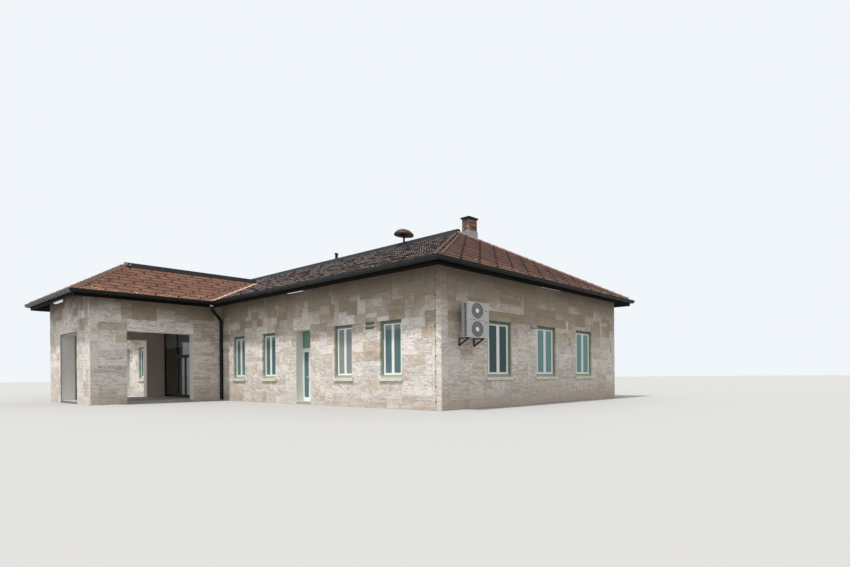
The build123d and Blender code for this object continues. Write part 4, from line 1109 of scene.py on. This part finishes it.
def tiled_slope(name, eave_point, along, slope, outline, clay, seed):
    """Tiles of one slope. Outline holds (along, run, margin left before the edge to the next point)."""
    points, left, right, top = slope_corners(slope, outline)
    columns = math.ceil((right - left) / tile_cover) + 1
    pairs = math.ceil((top + eave_reach) / tile_course / 2)
    count = columns * 2 * pairs
    tile = single_tile()
    half_bond(tile, columns, tile_cover, -tile_cover / 2, pairs)
    tone = np.random.RandomState(seed).random_sample(count)
    climb = (np.arange(count) // columns) * tile_course / 10
    loops = np.repeat(np.stack((tone, climb), 1), 4 * tile_faces, axis=0)
    tile.data.uv_layers.new(name="tile").data.foreach_set("uv", loops.astype(np.float32).ravel())
    tile.data.transform(Matrix.Translation((left, -eave_reach, 0)))
    edit_mode()
    for point, outward in sloping_edges(points, outline):
        bpy.ops.mesh.select_all(action="SELECT")
        bpy.ops.mesh.bisect(plane_co=(*point, 0), plane_no=(*outward, 0), clear_outer=True)
    object_mode()
    settle(tile, slope_matrix(eave_point, along, slope))
    finished([tile], name, clay, smooth=True)


def mirrored(outline):
    """The outline of the slope on the other side."""
    margins = [margin for _, _, margin in outline]
    turned = [(-x, run) for x, run, _ in reversed(outline)]
    return [(x, run, margins[(len(margins) - 2 - number) % len(margins)])
            for number, (x, run) in enumerate(turned)]


ridge_margin = 0.12
valley_margin = 0.09
front_outline = [(x_porch_eave, 0, None), (x_eave, 0, 0), (x_ridge_end, main_run, ridge_margin),
                 (0, main_run, 0), (0, valley_run, valley_margin)]
rear_outline = [(-x_eave, 0, None), (x_eave, 0, 0), (x_ridge_end, main_run, ridge_margin),
                (-x_ridge_end, main_run, 0)]
end_outline = [(-main_run, 0, None), (main_run, 0, 0), (0, end_run, 0)]
porch_outline = [(y_porch_eave, 0, None), (y_eave, 0, valley_margin),
                 (y_eave + valley_run, x_porch_eave, ridge_margin), (y_porch_ridge, x_porch_eave, 0)]
porch_front_outline = [(-x_porch_eave, 0, None), (x_porch_eave, 0, 0), (0, hip_run, 0)]
slopes = {
    "street_right": ((0, y_eave, eave_z), RIGHT, main_slope, front_outline),
    "street_left": ((0, y_eave, eave_z), RIGHT, main_slope, mirrored(front_outline)),
    "platform": ((0, y_rear_eave, eave_z), LEFT, main_slope, rear_outline),
    "end_right": ((x_eave, y_middle, eave_z), PLATFORM, end_slope, end_outline),
    "end_left": ((-x_eave, y_middle, eave_z), STREET, end_slope, end_outline),
    "porch_right": ((x_porch_eave, 0, eave_z), PLATFORM, porch_slope, porch_outline),
    "porch_left": ((-x_porch_eave, 0, eave_z), STREET, porch_slope, mirrored(porch_outline)),
    "porch_front": ((0, y_porch_eave, eave_z), RIGHT, hip_slope, porch_front_outline),
}
# Each side gets its copy of the one clay, with its own painted shade and glints
clays = {"street": street_clay, "platform": porch_clay, "end": end_clay, "porch": porch_clay}
for seed, (side, slope_data) in enumerate(slopes.items(), 21):
    tiled_slope("tiles_" + side, *slope_data, clays[side.split("_")[0]], seed)

# Snow guards: one dark hook on every third tile, staggered from course to course
guard_pitch = 3 * tile_cover
guard_high = 0.05
guard_wide = 0.07
guard_reach = 0.09
guard_corners = 8
guard_along, guard_up = 0.5 * tile_cover, 0.45 * tile_course
guard_drop = 0.4 * guard_high


def snow_guards(name, eave_point, along, slope, outline):
    """Hooks on one slope, those past its hips and valleys taken away."""
    points, left, right, top = slope_corners(slope, outline)
    bpy.ops.mesh.primitive_cube_add(size=1)
    hook = bpy.context.object
    edit_mode()
    bpy.ops.transform.resize(value=(guard_wide, guard_reach, guard_high))
    select(hook, "FACE", lambda face: face.normal.y > 0.9)
    bpy.ops.transform.resize(value=(0.5, 1, 0.12))
    bpy.ops.transform.translate(value=(0, 0, -guard_drop))
    object_mode()
    hook.data.transform(Matrix.Translation((left + guard_along, guard_up - eave_reach,
                                            tile_lift + tile_nose * 0.6 + guard_drop)))
    half_bond(hook, math.ceil((right - left) / guard_pitch), guard_pitch, guard_pitch / 2,
              math.ceil(top / tile_course / 2))
    edges = [(point - outward * guard_reach, outward) for point, outward in sloping_edges(points, outline)]
    edges.append((Vector((0, top - 2 * guard_reach)), Vector((0, 1))))
    edit_mode()
    mesh = bmesh.from_edit_mesh(hook.data)
    verts = list(mesh.verts)
    for first in range(0, len(verts), guard_corners):
        corners = verts[first:first + guard_corners]
        middle = sum((vert.co for vert in corners), Vector()) / guard_corners
        outside = any((middle.xy - point).dot(outward) > 0 for point, outward in edges)
        for vert in corners:
            vert.select_set(outside)
    mesh.select_flush(True)
    bmesh.update_edit_mesh(hook.data)
    bpy.ops.mesh.select_mode(type="VERT")
    bpy.ops.mesh.delete(type="VERT")
    object_mode()
    settle(hook, slope_matrix(eave_point, along, slope))
    finished([hook], name, ridge_metal)


for side, slope_data in slopes.items():
    snow_guards("snow_guards_" + side, *slope_data)

# Rounded hip tiles
hip_radius = 0.115
hip_length = 0.4
hip_course = 0.35
hip_sides = 20
hip_taper = 0.86
hip_wall = 0.014
hip_sink = 0.03
hip_foot = -0.35 * hip_radius
hip_tilt = math.radians(2.2)
hip_start = 0.1
hip_stop = 0.1


def hip_row(side, foot, top):
    """Half-round tiles, each lapping the one below, from an eave corner up to the ridge."""
    foot, top = (Vector((side * x, y, z)) for x, y, z in (foot, top))
    up = (top - foot).normalized()
    tile = cylinder(hip_sides, hip_radius, hip_length, turn=(-math.pi / 2, 0, 0), ends="NOTHING")
    edit_mode()
    delete_faces(tile, lambda face: face.calc_center_median().z < hip_foot)
    select(tile, "EDGE", lambda edge: all(vert.co.y > 0 for vert in edge.verts))
    bpy.ops.transform.resize(value=(hip_taper, 1, hip_taper), center_override=(0, 0, 0))
    object_mode()
    apply_modifier(tile, "SOLIDIFY", thickness=hip_wall, offset=-1)
    tile.data.transform(Matrix.Rotation(hip_tilt, 4, "X"))
    tile.data.transform(Matrix.Translation((0, hip_start + hip_length / 2, -hip_sink)))
    repeat(tile, math.ceil(((top - foot).length - hip_start - hip_stop) / hip_course), 0, hip_course, 0)
    settle(tile, placed(foot, UP.cross(up).normalized(), up))
    return tile


rows = []
for side in (-1, 1):
    for y_corner in (y_eave, y_rear_eave):
        rows.append(hip_row(side, (x_eave, y_corner, eave_z), (x_ridge_end, y_middle, ridge_z)))
    rows.append(hip_row(side, (x_porch_eave, y_porch_eave, eave_z), (0, y_porch_ridge, porch_ridge_z)))
hips = finished(rows, "hip_tile_rows", hip_clay, smooth=True)
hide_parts("hip_tiles")

# Valley sheets
valley_half = 0.192
valley_lift = UP * 0.012
sheet_thick = 0.003
sheets = []
for side in (-1, 1):
    foot = Vector((side * x_porch_eave, y_eave, eave_z))
    top = Vector((0, y_eave + valley_run, porch_ridge_z))
    sheet = grid(2, 12)
    for vert in sheet.data.vertices:
        spot = foot.lerp(top, vert.co.y + 0.5) + valley_lift
        if vert.co.x < -0.1:
            spot += RIGHT * side * valley_half
        elif vert.co.x > 0.1:
            spot += STREET * valley_half
        vert.co = spot
    if side > 0:
        sheet.data.flip_normals()
    apply_modifier(sheet, "SOLIDIFY", thickness=sheet_thick, offset=1)
    sheets.append(sheet)
finished(sheets, "valley_sheets", valley_metal)

# Boarded soffits, from corner to corner round the eaves, mitred at the hips but not in the valleys
board_width = 0.118
board_gap = 0.01
board_drop = 0.012
soffit_z = eave_z - roof_thick
soffit_lines = lattice_lines([0, overhang], board_width)
eave_corners = [  # place, mitre, slope of the roof between this corner and the next
    (x_porch_eave, y_eave, 0, main_slope), (x_eave, y_eave, 1, end_slope),
    (x_eave, y_rear_eave, 1, main_slope), (-x_eave, y_rear_eave, 1, end_slope),
    (-x_eave, y_eave, 1, main_slope), (-x_porch_eave, y_eave, 0, porch_slope),
    (-x_porch_eave, y_porch_eave, 1, hip_slope), (x_porch_eave, y_porch_eave, 1, porch_slope)]


def soffit(here, there):
    """Boards under the eave between two corners."""
    *_, start_mitre, slope = here
    *_, stop_mitre, _ = there
    start, stop = Vector((*here[:2], soffit_z)), Vector((*there[:2], soffit_z))
    along = (stop - start).normalized()
    boards = grid(1, len(soffit_lines) - 1)
    for vert in boards.data.vertices:
        run = soffit_lines[round((vert.co.y + 0.5) * (len(soffit_lines) - 1))]
        edge = start + along * start_mitre * run if vert.co.x < 0 else stop - along * stop_mitre * run
        vert.co = edge + (UP.cross(along) + UP * slope) * run
    edit_mode()
    bpy.ops.mesh.select_all(action="SELECT")
    bpy.ops.mesh.normals_make_consistent(inside=False)
    if next(iter(bmesh.from_edit_mesh(boards.data).faces)).normal.z > 0:
        bpy.ops.mesh.flip_normals()
    bpy.ops.mesh.inset(thickness=board_gap / 2, depth=board_drop, use_individual=True)
    object_mode()
    return boards


soffits = [soffit(here, there) for here, there in with_next(eave_corners)]
finished(soffits, "soffit_boards", wood)

# Gutter straps, following the gutter's round bottom and straight sides
strap_pitch = 0.6
strap_wide = 0.025
strap_radius = 0.084
strap_end = 0.008
gutter_radius = 0.08
gutter_side = 0.065
gutter_line = overhang + gutter_radius
gutter_z = high("gutters_long").z - gutter_side


def gutter_straps(start, stop):
    """Straps round one gutter run: half tubes with straight sides up to the gutter's top."""
    start, stop = Vector((*start, gutter_z)), Vector((*stop, gutter_z))
    along = (stop - start).normalized()
    length = (stop - start).length
    count = int(length / strap_pitch)
    strap = cylinder(24, strap_radius, strap_wide, turn=(math.pi / 2, 0, 0), ends="NOTHING")
    edit_mode()
    delete_faces(strap, lambda face: face.calc_center_median().z > 0)
    select(strap, "EDGE", lambda edge: all(vert.co.z > -1e-4 for vert in edge.verts))
    extrude(0, 0, gutter_side - strap_end)
    bpy.ops.mesh.select_all(action="SELECT")
    bpy.ops.mesh.normals_make_consistent(inside=False)
    object_mode()
    apply_modifier(strap, "SOLIDIFY", thickness=sheet_thick, offset=1)
    repeat(strap, count, 0, strap_pitch, 0)
    settle(strap, placed(start + along * (length - (count - 1) * strap_pitch) / 2, along.cross(UP), along))
    return strap


gx, gy, gy_rear = x_end + gutter_line, y_front - gutter_line, y_rear + gutter_line
gx_porch, gy_porch = x_porch + gutter_line, y_porch - gutter_line
gutter_corners = [(gx, gy_rear), (gx, gy), (gx_porch, gy), (gx_porch, gy_porch), (-gx_porch, gy_porch),
                  (-gx_porch, gy), (-gx, gy), (-gx, gy_rear)]
straps = [gutter_straps(here, there) for here, there in with_next(gutter_corners)]
finished(straps, "gutter_straps", shadow_black)

# Bright clamps round the funnels, with their tightening ears
ring_high = 0.06
ring_radius = 0.077
ring_thick = 0.004
ear_size = (0.03, 0.022, 0.7 * ring_high)
ear_stand = 0.008
ring_z = low("gutters_long").z - ring_high
rings = []
for ring_x in (-gx_porch, gx_porch):
    ring = cylinder(32, ring_radius, ring_high, (ring_x, gy, ring_z), ends="NOTHING")
    apply_modifier(ring, "SOLIDIFY", thickness=ring_thick, offset=1)
    apply_modifier(ring, "BEVEL", width=fine_edge, segments=2)
    ears = bevelled_box((ring_x, gy - ring_radius - ear_stand, ring_z), ear_size, 2 * fine_edge)
    rings += [ring, ears]
finished(rings, "funnel_rings", bright_metal, smooth=True)

# Floor, backdrop, light and camera


def seen(finish):
    """1 on the rays that show the backdrop, 0 on those that light the building by it."""
    camera, glossy, through = (finish.node("ShaderNodeLightPath", output=f"Is {kind} Ray")
                               for kind in ("Camera", "Glossy", "Transmission"))
    return camera.at_least(glossy).at_least(through)


bpy.ops.mesh.primitive_circle_add(vertices=96, radius=260, fill_type="NGON", location=(0, 0, -0.001))
floor = bpy.context.object
floor.name = "studio_floor"
floor_look = Finish("studio_floor")
floor_color = floor_look.mix(seen(floor_look), (0.15, 0.15, 0.147), (0.31, 0.31, 0.305))
floor.data.materials.append(floor_look.surface(floor_color, 0.9))
bpy.ops.object.transform_apply(location=True)

sky = Finish("studio", bpy.data.worlds)


def glow(color, strength):
    return sky.node("ShaderNodeBackground", None, {"Color": (*color, 1), "Strength": strength})


def blended(factor, first, second):
    return sky.node("ShaderNodeMixShader", None, {0: factor, 1: first, 2: second})


height = sky.node("ShaderNodeTexCoord", output="Generated").part(2)
soft = blended(height, glow((0.94, 0.93, 0.9), 0.53), glow((0.94, 0.94, 0.94), 1.5))
pale = glow((0.88, 0.92, 0.96), 1.0)
bpy.context.scene.world = sky.end("ShaderNodeOutputWorld", blended(seen(sky), soft, pale))

sun_from = Vector((-0.03, -1.0, 2.79))
bpy.ops.object.light_add(type="SUN", location=(-20, -40, 40))
sun = bpy.context.object
sun.name = "soft_sun"
sun.data.energy = 4.4
sun.data.angle = math.radians(3)
sun.data.color = (1.0, 0.975, 0.94)
sun.rotation_euler = sun_from.to_track_quat("Z", "Y").to_euler()

# Camera where the photograph was taken: near the corner, level, with a shifted frame
photo_width, photo_height = 850, 567
focal_px = 508.68
centre_column = 593.07
horizon_row = 374.97
roll = -0.00793
eye = (30.871, -12.841, 1.042)
forward = Vector((-0.5561, 0.8311, 0)).normalized()
right = forward.cross(UP)
camera_data = bpy.data.cameras.new("view")
camera = bpy.data.objects.new("view", camera_data)
bpy.context.scene.collection.objects.link(camera)
camera_data.sensor_width = 36.0
camera_data.lens = focal_px / photo_width * camera_data.sensor_width
camera_data.shift_x = (photo_width / 2 - centre_column) / photo_width
camera_data.shift_y = (horizon_row - photo_height / 2) / photo_width
camera_data.clip_end = 1000
camera.matrix_world = placed(eye, right * math.cos(roll) + UP * math.sin(roll),
                             UP * math.cos(roll) - right * math.sin(roll))
bpy.context.scene.camera = camera
bpy.context.scene.view_settings.view_transform = "Standard"
